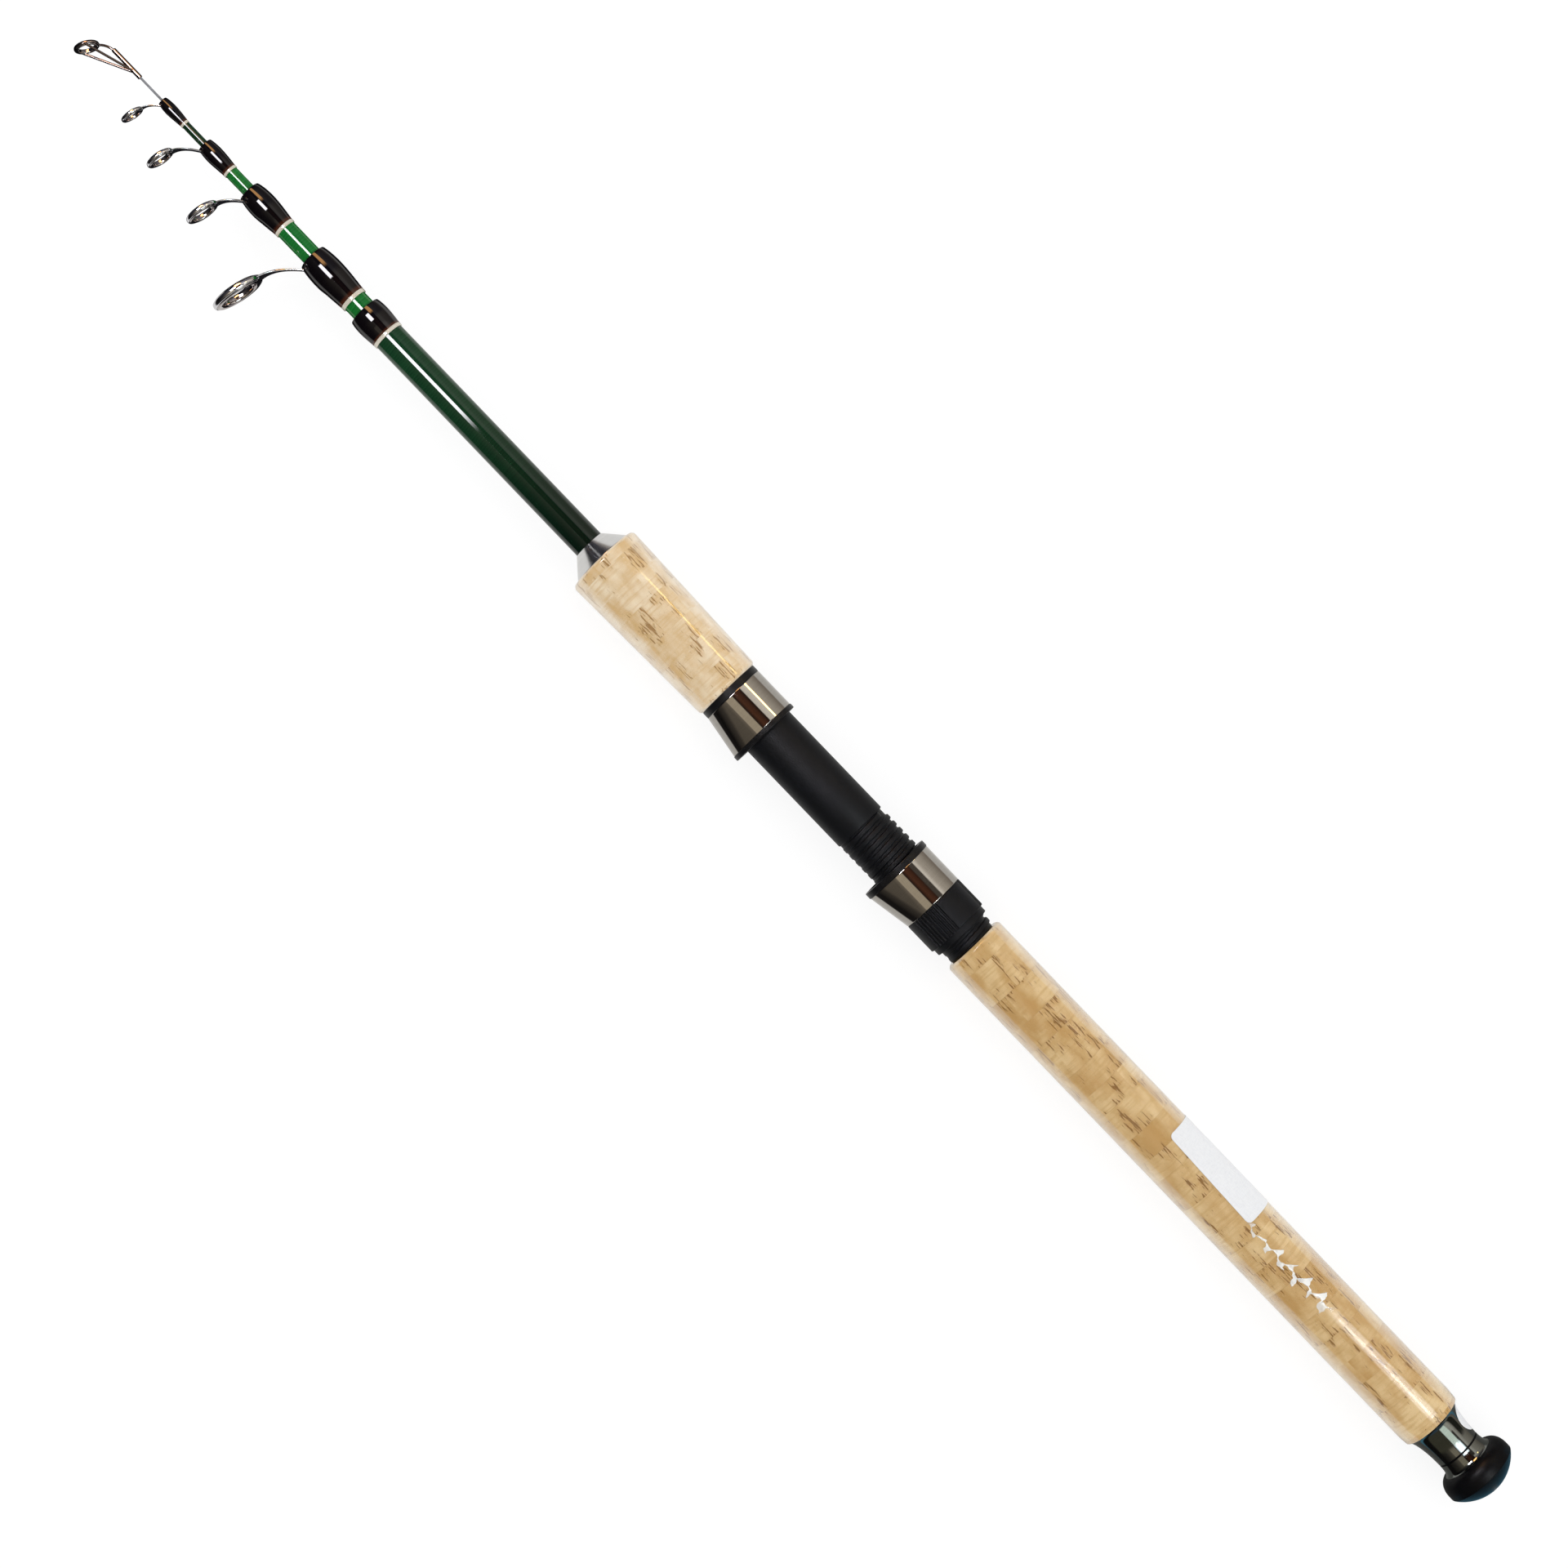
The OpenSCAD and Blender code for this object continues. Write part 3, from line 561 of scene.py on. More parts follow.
class Windings(Effect):
    """Turns of thread or tape wound round the rod: a sine along x with one wave each pitch."""

    name = "windings"
    takes = {"Pitch": "Float", "Base": "Color", "Valley": "Color"}
    gives = {"Color": "Color", "Height": "Float"}
    cloud_waves: ClassVar[Triple] = (160.0, 420.0, 420.0)
    contrast: ClassVar[float] = 0.36

    @classmethod
    def wire(cls, graph: Graph, given: Any) -> dict[str, Socket]:
        """Builds the turns, each a little different from the next.

        Args:
            graph: Graph of the group.
            given: Its inputs.

        Returns:
            Its outputs by name.
        """
        x, y, z = graph.parts(given["Vector"])
        turns = graph.minus(graph.math("DIVIDE", x, given["Pitch"]), graph.turned(y, z))
        height = graph.affine(graph.math("SINE", graph.times(turns, TURN)), 0.5, 0.5)
        odd = graph.chance(graph.math("FLOOR", turns), 3.0)
        cloud = graph.noise(given["Vector"], cls.cloud_waves, 3.0)
        tone = graph.times(graph.plus(odd, graph.plus(cloud, height)), cls.contrast)
        return {"Color": graph.blend(tone, given["Valley"], given["Base"]), "Height": height}


class Handling(Effect):
    """Faint rubs and smears on a polished surface."""

    name = "handling"
    takes = {"Base": "Float", "Amount": "Float"}
    gives = {"Roughness": "Float", "Rub": "Float"}
    smear_waves: ClassVar[Triple] = (70.0, 110.0, 110.0)
    rub_waves: ClassVar[Triple] = (240.0, 3600.0, 3600.0)

    @classmethod
    def wire(cls, graph: Graph, given: Any) -> dict[str, Socket]:
        """Builds smears from broad noise and rubs from noise drawn out along the rod.

        Args:
            graph: Graph of the group.
            given: Its inputs.

        Returns:
            Its outputs by name.
        """
        smear = graph.span(graph.noise(given["Vector"], cls.smear_waves, 3.0), 0.45, 0.75)
        rub = graph.span(graph.noise(given["Vector"], cls.rub_waves), 0.58, 0.72)
        both = graph.plus(graph.times(smear, 0.7), graph.times(rub, 0.5))
        rough = graph.plus(given["Base"], graph.times(both, given["Amount"]))
        return {"Roughness": rough, "Rub": rub}


GRAIN = {"Color": "Color", "Roughness": "Float", "Height": "Float"}


class CorkGrain(Effect):
    """Cork rings glued end to end, each pieced round, with growth lines and long brown pits."""

    name = "cork_grain"
    takes = {"Light": "Color", "Dark": "Color", "Pit": "Color", "Pitting": "Float",
             "Piecing": "Float"}
    gives = GRAIN
    ring_length: ClassVar[float] = 11.8
    ring_drift: ClassVar[float] = 14.0
    ring_roll: ClassVar[float] = 5.0
    pieces_round: ClassVar[float] = 3.0
    pit_level: ClassVar[float] = 0.70
    drift_waves: ClassVar[Triple] = (38.0, 0.0, 0.0)
    cloud_waves: ClassVar[Triple] = (70.0, 130.0, 130.0)
    line_waves: ClassVar[Triple] = (850.0, 90.0, 90.0)
    speck_waves: ClassVar[Triple] = (1500.0, 1500.0, 1500.0)
    pit_waves: ClassVar[Triple] = (170.0, 1500.0, 1500.0)
    patch_waves: ClassVar[Triple] = (60.0, 150.0, 150.0)

    @classmethod
    def rings(cls, graph: Graph, vector: Socket) -> tuple[Socket, Socket, Socket]:
        """Works out the rings and the pieces that each ring is made of.

        Args:
            graph: Graph of the group.
            vector: Place on the piece.

        Returns:
            Mask of the joints between rings, tone of each piece, and the place moved by a random
            shift for each piece.
        """
        x, y, z = graph.parts(vector)
        drift = graph.times(graph.noise(vector, cls.drift_waves, 0.0), cls.ring_drift * MM)
        rings = graph.math("DIVIDE", graph.plus(x, drift), cls.ring_length * MM)
        ring = graph.math("FLOOR", rings)
        own = graph.chance(ring, 1.0)
        around = graph.times(graph.turned(y, z), cls.pieces_round)
        around = graph.plus(around, graph.times(own, cls.ring_roll))
        tone = graph.chance(ring, graph.math("FLOOR", around))
        shift = graph.out("CombineXYZ", {0: tone, 1: own, 2: tone})
        moved = graph.out("VectorMath", {0: vector, 1: shift}, operation="ADD")
        joint = graph.math("ABSOLUTE", graph.minus(graph.math("FRACT", rings), 0.5))
        return graph.span(joint, 0.485, 0.498), tone, moved

    @classmethod
    def wire(cls, graph: Graph, given: Any) -> dict[str, Socket]:
        """Builds tone, growth lines, specks, pits and joints for each ring.

        Args:
            graph: Graph of the group.
            given: Its inputs.

        Returns:
            Its outputs by name.
        """
        joint, tone, local = cls.rings(graph, given["Vector"])
        cloud = graph.noise(local, cls.cloud_waves, 3.0)
        lines = graph.noise(local, cls.line_waves)
        speck = graph.noise(local, cls.speck_waves, 3.0)
        pits = graph.noise(local, cls.pit_waves, 5.0)
        patch = graph.span(graph.noise(local, cls.patch_waves, 1.0), 0.46, 0.64)
        threshold = graph.minus(cls.pit_level, graph.times(given["Pitting"], patch))
        pit = graph.span(pits, threshold, graph.plus(threshold, 0.025))
        mixed = graph.times(graph.minus(tone, 0.5), given["Piecing"])
        share = graph.math("ADD", graph.span(cloud, 0.25, 0.75), mixed, clamp=True)
        fleck = graph.times(graph.span(speck, 0.44, 0.30), patch)
        layers = [(share, "Dark"), (graph.times(patch, 0.5), "Dark"),
                  (graph.times(fleck, 0.6), "Light"),
                  (graph.span(lines, 0.45, 0.72, (0.0, 0.5)), "Dark"),
                  (graph.span(speck, 0.6, 0.85, (0.0, 0.4)), "Pit"),
                  (graph.times(graph.times(joint, given["Piecing"]), 0.25), "Pit"),
                  (graph.times(pit, 0.85), "Pit")]
        colour = given["Light"]
        for cover, label in layers:
            colour = graph.blend(cover, colour, given[label])
        return {"Color": colour, "Roughness": graph.plus(0.5, graph.times(pit, 0.3)),
                "Height": graph.minus(graph.times(speck, 0.25), pit)}


class MouldGrain(Effect):
    """The fine grain of a moulded surface, with a faint bloom."""

    name = "mould_grain"
    takes = {"Base": "Color", "Bloom": "Color", "Rough": "Float", "Waves": "Float"}
    gives = GRAIN
    bloom_waves: ClassVar[Triple] = (45.0, 75.0, 75.0)

    @classmethod
    def wire(cls, graph: Graph, given: Any) -> dict[str, Socket]:
        """Builds grain from fine noise and bloom from broad noise.

        Args:
            graph: Graph of the group.
            given: Its inputs.

        Returns:
            Its outputs by name.
        """
        inputs = {"Vector": given["Vector"], "Scale": given["Waves"], "Detail": 3.0}
        grain = graph.out("TexNoise", inputs)
        bloom = graph.span(graph.noise(given["Vector"], cls.bloom_waves, 4.0), 0.4, 0.8)
        rough = graph.plus(given["Rough"], graph.times(grain, 0.12))
        return {"Color": graph.blend(bloom, given["Base"], given["Bloom"]), "Roughness": rough,
                "Height": grain}


class FibreGrain(Effect):
    """Matted fibres, as in paper and board."""

    name = "fibre_grain"
    takes = {"Light": "Color", "Dark": "Color"}
    gives = GRAIN
    long_waves: ClassVar[Triple] = (500.0, 2600.0, 2600.0)
    cross_waves: ClassVar[Triple] = (2600.0, 500.0, 500.0)

    @classmethod
    def wire(cls, graph: Graph, given: Any) -> dict[str, Socket]:
        """Builds fibres from noise drawn out two ways.

        Args:
            graph: Graph of the group.
            given: Its inputs.

        Returns:
            Its outputs by name.
        """
        ways = (cls.long_waves, cls.cross_waves)
        one, two = (graph.noise(given["Vector"], waves, 3.0) for waves in ways)
        mat = graph.times(graph.plus(one, two), 0.5)
        return {"Color": graph.blend(graph.span(mat, 0.4, 0.7), given["Light"], given["Dark"]),
                "Roughness": graph.span(mat, 0.2, 0.8, (0.45, 0.65)), "Height": mat}


def new_material(name: str) -> tuple[bpy.types.Material, Graph]:
    """Makes a material that uses nodes.

    Args:
        name: Name of the material.

    Returns:
        The material and the graph of its tree.
    """
    made = bpy.data.materials.new(name)
    made.use_nodes = True
    return made, Graph(made.node_tree)


class Finish(ABC):
    """The finish of a piece: one material, made once."""

    name: str
    slot: str | None
    shelf: ClassVar[dict[str, bpy.types.Material]] = {}

    @abstractmethod
    def paint(self, graph: Graph) -> dict[str, Any]:
        """Builds the finish and returns the inputs of its shader by name."""

    def material(self) -> bpy.types.Material:
        """Makes the material, or finds it where another piece has it already.

        Returns:
            The material with its nodes.
        """
        if self.name not in Finish.shelf:
            made, graph = new_material(self.name)
            graph.fill(made.node_tree.nodes["Principled BSDF"], self.paint(graph))
            Finish.shelf[self.name] = made
        return Finish.shelf[self.name]


class Wound(Finish):
    """A finish of wound tape or thread that shows its turns."""

    tone: Colour  # on the turns
    valley: Colour  # between the turns
    pitch: ClassVar[float]  # width of a turn
    relief: ClassVar[float]  # depth between the turns
    strength: ClassVar[float] = 1.0  # how much of the relief shows
    rough: ClassVar[float]  # roughness where nothing has rubbed
    rubs: ClassVar[float]  # what rubs and smears add to the roughness
    gloss: ClassVar[dict[str, float]]  # fixed inputs of the shader

    def hue(self, graph: Graph, colour: Socket) -> Socket:
        """Returns the colour of the turns, which a finish may change along the rod."""
        return colour

    def paint(self, graph: Graph) -> dict[str, Any]:
        """Shows the turns under the finish's gloss.

        Args:
            graph: Graph of the material.

        Returns:
            Inputs of the shader by name.
        """
        turns = Windings.place(graph, {"Pitch": self.pitch * MM, "Base": self.tone,
                                       "Valley": self.valley})
        wear = Handling.place(graph, {"Base": self.rough, "Amount": self.rubs})
        return {"Base Color": self.hue(graph, turns["Color"]), "Roughness": wear["Roughness"],
                "Normal": graph.bump(turns["Height"], self.relief, self.strength), **self.gloss}


@dataclass(frozen=True)
class BlankLacquer(Wound):
    """Clear-lacquered blank, with painted shade that darkens it from one place along the rod to
    another.
    """

    name: str
    tone: Colour
    valley: Colour
    # painted shade: the colour the tape darkens to, and the places in millimetres where that shade
    # starts and where it is full
    painted_shade: Colour = (0.0, 0.0, 0.0)
    painted_shade_from: float = -100.0
    painted_shade_to: float = -200.0
    slot: str | None = "green_lacquer"
    pitch = 1.1
    relief = 0.012
    rough = 0.16
    rubs = 0.08
    gloss = {"Specular IOR Level": 0.0, "Coat Weight": 1.0, "Coat Roughness": 0.025}

    def hue(self, graph: Graph, colour: Socket) -> Socket:
        """Paints shade on the tape along the rod.

        Args:
            graph: Graph of the material.
            colour: Colour of the turns.

        Returns:
            The colour socket.
        """
        x = graph.parts(graph.here())[0]
        # painted shade, from none at the first place to full at the second
        dark = graph.span(x, self.painted_shade_from * MM, self.painted_shade_to * MM)
        return graph.blend(dark, colour, self.painted_shade)


@dataclass(frozen=True)
class WhippingLacquer(Wound):
    """Black-brown whipping thread under a thick lacquer, redder at the trim band."""

    name: str
    start: float
    length: float
    slot: str | None = "dark_lacquer"
    tone = (0.0044, 0.0032, 0.0042)
    valley = (0.0022, 0.0016, 0.0022)
    red: ClassVar[Colour] = (0.055, 0.014, 0.006)
    red_share: ClassVar[tuple[float, float]] = (0.09, 0.02)
    pitch = 0.32
    relief = 0.02
    strength = 0.5
    rough = 0.12
    rubs = 0.05
    gloss = {"Specular IOR Level": 0.0, "Coat Weight": 1.0, "Coat Roughness": 0.02}

    def hue(self, graph: Graph, colour: Socket) -> Socket:
        """Returns the thread's colour, red where the lacquer thins out at the trim band."""
        low, high = ((self.start + share * self.length) * MM for share in self.red_share)
        return graph.blend(graph.span(graph.parts(graph.here())[0], low, high), colour, self.red)


@dataclass(frozen=True)
class TrimThread(Wound):
    """Cream trim thread, lacquered."""

    name: str = "cream_trim_thread"
    slot: str | None = "trim_thread"
    tone = (0.86, 0.82, 0.72)
    valley = (0.50, 0.42, 0.30)
    pitch = 0.3
    relief = 0.05
    rough = 0.2
    rubs = 0.1
    gloss = {"Coat Weight": 0.6, "Coat Roughness": 0.05}


@dataclass(frozen=True)
class TipGrain(Wound):
    """Satin grey solid tip, ground with fine turns."""

    name: str = "grey_ground_tip"
    slot: str | None = "grey_tip"
    tone = (0.30, 0.31, 0.33)
    valley = (0.17, 0.175, 0.19)
    pitch = 0.4
    relief = 0.01
    rough = 0.42
    rubs = 0.12
    gloss = {"Specular IOR Level": 0.15}


class PlateTone(Enum):
    """Named platings: record slot, tint, tint of the rubs, roughness."""

    CHROME = ("guide_metal", (0.84, 0.84, 0.88), (0.68, 0.68, 0.72), 0.045)
    WIRE = ("guide_metal", (0.27, 0.225, 0.215), (0.20, 0.165, 0.155), 0.07)
    HARD = ("ring_insert", (0.54, 0.50, 0.50), (0.40, 0.37, 0.37), 0.07)
    SMOKED = ("smoked_chrome", (0.45, 0.43, 0.40), (0.37, 0.35, 0.32), 0.035)
    GUNMETAL = ("smoked_chrome", (0.21, 0.22, 0.205), (0.16, 0.17, 0.16), 0.07)
    BRIGHT = ("bright_plate", (0.84, 0.84, 0.84), (0.72, 0.72, 0.72), 0.11)


@dataclass(frozen=True)
class Plating(Finish):
    """A plated metal finish in one of the named tones."""

    tone: PlateTone
    polish_pitch: ClassVar[float] = 0.23
    relief: ClassVar[float] = 0.0006
    rubs: ClassVar[float] = 0.06

    @property
    def name(self) -> str:
        """Name of the material."""
        return f"plate_{self.tone.name.lower()}"

    @property
    def slot(self) -> str:
        """Record slot of the plating."""
        return self.tone.value[0]

    def paint(self, graph: Graph) -> dict[str, Any]:
        """Rubs the plating a little along the rod and round it.

        Args:
            graph: Graph of the material.

        Returns:
            Inputs of the shader by name.
        """
        _, tint, rubbed, rough = self.tone.value
        wear = Handling.place(graph, {"Base": rough, "Amount": self.rubs})
        lines = Windings.place(graph, {"Pitch": self.polish_pitch * MM, "Base": tint,
                                       "Valley": rubbed})
        return {"Base Color": graph.blend(wear["Rub"], lines["Color"], rubbed),
                "Roughness": wear["Roughness"],
                "Normal": graph.bump(lines["Height"], self.relief), "Metallic": 1.0}


def grained(graph: Graph, grain: Any, relief: float, strength: float = 1.0) -> dict[str, Any]:
    """Returns the shader inputs of a grain with so many millimetres of relief."""
    return {"Base Color": grain["Color"], "Roughness": grain["Roughness"],
            "Normal": graph.bump(grain["Height"], relief, strength)}


@dataclass(frozen=True)
class Moulding(Finish):
    """Moulded plastic or rubber."""

    name: str
    slot: str | None
    base: Colour
    bloom: Colour
    rough: float
    waves: float
    relief: float
    specular: float

    def paint(self, graph: Graph) -> dict[str, Any]:
        """Lays a mould grain over the surface."""
        grain = MouldGrain.place(graph, {"Base": self.base, "Bloom": self.bloom,
                                         "Rough": self.rough, "Waves": self.waves})
        return {**grained(graph, grain, self.relief), "Specular IOR Level": self.specular}


class CorkGrade(Enum):
    """Named cork grades: record slot, light, dark and pit colours, pitting, piecing."""

    CREAM = ("cork_cream", (0.91, 0.77, 0.56), (0.71, 0.48, 0.215), (0.36, 0.18, 0.045), 0.165, 0.2)
    TAN = ("cork_tan", (0.79, 0.585, 0.30), (0.575, 0.345, 0.115), (0.25, 0.11, 0.024), 0.165, 0.6)


@dataclass(frozen=True)
class Cork(Finish):
    """Cork of a grade, seen through the gloss of a tight clear film."""

    grade: CorkGrade
    relief: ClassVar[float] = 0.12
    strength: ClassVar[float] = 0.6
    gloss: ClassVar[dict[str, float]] = {
        "Specular IOR Level": 0.1, "Coat Weight": 1.0, "Coat Roughness": 0.06}

    @property
    def name(self) -> str:
        """Name of the material."""
        return f"cork_rings_{self.grade.name.lower()}"

    @property
    def slot(self) -> str:
        """Record slot of the cork."""
        return self.grade.value[0]

    def paint(self, graph: Graph) -> dict[str, Any]:
        """Lays cork grain under a glossy coat.

        Args:
            graph: Graph of the material.

        Returns:
            Inputs of the shader by name.
        """
        labels = ("Light", "Dark", "Pit", "Pitting", "Piecing")
        grain = CorkGrain.place(graph, dict(zip(labels, self.grade.value[1:])))
        return {**grained(graph, grain, self.relief, self.strength), **self.gloss}


@dataclass(frozen=True)
class ShrinkFilm(Finish):
    """Clear shrink film, white at grazing angles, partly from its milkiness and partly as a painted
    reflection, with painted highlights on its wrinkles over a stretch of the rod.
    """

    name: str
    highlight_from: float
    highlight_to: float
    slot: str | None = "clear_film"
    highlight_soft: ClassVar[float] = 3.0
    tooth_length: ClassVar[float] = 3.8
    wobble_waves: ClassVar[Triple] = (260.0, 260.0, 260.0)
    tint: ClassVar[Colour] = (0.96, 0.95, 0.90)
    rub_tint: ClassVar[Colour] = (1.0, 1.0, 0.98)
    rough: ClassVar[float] = 0.12
    rubs: ClassVar[float] = 0.1

    def wrinkle_highlights(self, graph: Graph) -> Socket:
        """Works out painted highlights on the film's wrinkles.

        The highlights are painted as teeth along a line near the top of the film. Tooth k at share
        f of its length is size (1 - f) wide, on one side of the line where k is even and on the
        other where it is odd.

        Args:
            graph: Graph of the film's material.

        Returns:
            Strength of the painted highlights from 0 to 1.
        """
        here = graph.here()
        x, y, z = graph.parts(here)
        lean = graph.math("ARCTAN2", graph.times(y, -1.0), z)
        wobble = graph.noise(here, self.wobble_waves)
        teeth = graph.math("DIVIDE", x, self.tooth_length * MM)
        teeth = graph.plus(teeth, graph.times(wobble, 1.4))
        tooth, share = graph.math("FLOOR", teeth), graph.math("FRACT", teeth)
        side = graph.affine(graph.math("MODULO", tooth, 2.0), 2.0, -1.0)
        off = graph.times(graph.minus(lean, graph.affine(wobble, 0.34, -0.07)), side)
        size = graph.span(graph.chance(tooth, 7.0), 0.0, 0.8, (0.12, 0.36))
        width = graph.times(graph.minus(1.0, share), size)
        inside = graph.times(graph.span(off, -0.02, 0.0),
                             graph.span(off, width, graph.times(width, 0.85)))
        # the painted highlights on the wrinkles lie only between these two places along the rod
        zone = graph.band(x, self.highlight_from * MM, self.highlight_to * MM, self.highlight_soft * MM)
        return graph.times(graph.times(inside, zone), graph.span(wobble, 0.3, 0.6, (0.5, 0.9)))

    def paint(self, graph: Graph) -> dict[str, Any]:
        """Makes the film see-through, white at grazing angles, and paints highlights on its
        wrinkles.

        Args:
            graph: Graph of the material.

        Returns:
            Inputs of the shader by name.
        """
        facing = graph.node("ShaderNodeLayerWeight", None, {"Blend": 0.5}).outputs["Facing"]
        # whiteness at grazing angles: partly the film's milkiness, partly a painted reflection of
        # the white background
        haze_and_reflection = graph.span(facing, 0.26, 0.33, (0.01, 0.105))
        rim = graph.span(facing, 0.3, 0.75, (0.0, 0.17))
        wear = Handling.place(graph, {"Base": self.rough, "Amount": self.rubs})
        return {"Alpha": graph.math("MAXIMUM", graph.plus(haze_and_reflection, rim), self.wrinkle_highlights(graph)),
                "Roughness": wear["Roughness"],
                "Base Color": graph.blend(wear["Rub"], self.tint, self.rub_tint)}


@dataclass(frozen=True)
class FibreSheet(Finish):
    """Paper or board of matted fibres."""

    name: str
    light: Colour
    dark: Colour
    slot: str | None = None
    relief: ClassVar[float] = 0.01

    def paint(self, graph: Graph) -> dict[str, Any]:
        """Lays matted fibres over the sheet."""
        grain = FibreGrain.place(graph, {"Light": self.light, "Dark": self.dark})
        return grained(graph, grain, self.relief)


BLACK_PLASTIC = Moulding("black_moulded_plastic", "black_plastic", (0.0034, 0.0040, 0.0054),
                         (0.0050, 0.0059, 0.0084), 0.42, 2600.0, 0.03, 0.16)
BLACK_LINER = Moulding("black_hood_liner", "black_plastic", (0.0040, 0.0040, 0.0048),
                       (0.0056, 0.0058, 0.0070), 0.3, 2200.0, 0.02, 0.2)
BLACK_RUBBER = Moulding("black_moulded_rubber", "black_rubber", (0.0022, 0.0022, 0.0028),
                        (0.0036, 0.0036, 0.0046), 0.30, 1700.0, 0.02, 0.09)


def new_object(name: str, data: bpy.types.ID) -> bpy.types.Object:
    """Makes an object and links it into the scene.

    Args:
        name: Name of the object.
        data: Its mesh, light or camera.

    Returns:
        The new object, at the origin.
    """
    obj = bpy.data.objects.new(name, data)
    bpy.context.scene.collection.objects.link(obj)
    return obj


def make_piece(name: str, skin: Skin, finish: Finish, body: str, *nodes: str) -> None:
    """Makes a piece of the rod from a skin, dresses it and sets it on its body.

    Args:
        name: Name of the piece.
        skin: Its closed surface, in millimetres.
        finish: Its finish.
        body: Body that it rides.
        nodes: Solids that it stands for.
    """
    obj = make_mesh(name, skin)
    obj.data.materials.append(finish.material())
    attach(obj, body)
    if nodes:
        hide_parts(*nodes)
    LOG.info("%s: %d points, rides %s", name, len(skin.points), body)


def make_mesh(name: str, skin: Skin) -> bpy.types.Object:
    """Puts a skin into a mesh with smooth faces and sharp corners.

    Args:
        name: Name of the object and its mesh.
        skin: Closed surface, in millimetres.

    Returns:
        The new object, linked into the scene.
    """
    mesh = bpy.data.meshes.new(name)
    loops = np.concatenate([skin.quads.ravel(), skin.tris.ravel()])
    count = len(skin.quads)
    starts = np.concatenate([4 * np.arange(count), 4 * count + 3 * np.arange(len(skin.tris))])
    mesh.vertices.add(len(skin.points))
    mesh.vertices.foreach_set("co", (skin.points * MM).astype(np.float32).ravel())
    mesh.loops.add(len(loops))
    mesh.loops.foreach_set("vertex_index", loops.astype(np.int32))
    mesh.polygons.add(len(starts))
    mesh.polygons.foreach_set("loop_start", starts.astype(np.int32))
    mesh.polygons.foreach_set("use_smooth", np.ones(len(starts), bool))
    layer = mesh.uv_layers.new(name="surface")
    places = np.concatenate([skin.quad_uv.reshape(-1, 2), skin.tri_uv.reshape(-1, 2)])
    layer.data.foreach_set("uv", places.astype(np.float32).ravel())
    mesh.update(calc_edges=True)
    mesh.validate()
    mesh.set_sharp_from_angle(angle=math.radians(SHARP_DEGREES))
    return new_object(name, mesh)


def dress_node(frame: dict[str, Any], node: str, finish: Finish) -> None:
    """Gives a solid that keeps its own shape a finish.

    Args:
        frame: The loaded frame.
        node: Name of the solid.
        finish: Its finish.
    """
    obj = frame["nodes"][node]
    material = finish.material()
    for place in obj.material_slots:
        place.material = material
    LOG.info("%s: solid kept, finish %s", node, material.name)


@dataclass(frozen=True)
class Blank:
    """A tapered blank from its butt end to its front end."""

    front: float
    butt_r: float
    front_r: float
    wall: float
    butt: float = 12.8

    def radius(self, x: Any) -> Any:
        """Returns the outer radius at a place along the rod."""
        growth = self.front_r - self.butt_r
        return self.butt_r + growth * (x - self.butt) / (self.front - self.butt)

    def tube(self) -> Skin:
        """Works out the tube, an outer and an inner wall with eased ends.

        Returns:
            The tube's skin.
        """
        ends = (self.butt, self.front)
        outer = [(x, self.radius(x), 0.15) for x in ends]
        inner = [(x, self.radius(x) - self.wall, 0.15) for x in ends[::-1]]
        return lathe(outer + inner)

    def rod(self) -> Skin:
        """Returns the skin of a solid tip."""
        outer = [(x, self.radius(x), 0.1) for x in (self.butt, self.front)]
        return lathe([(self.butt, 0.0, 0.0), *outer, (self.front, 0.0, 0.0)], capped=True)


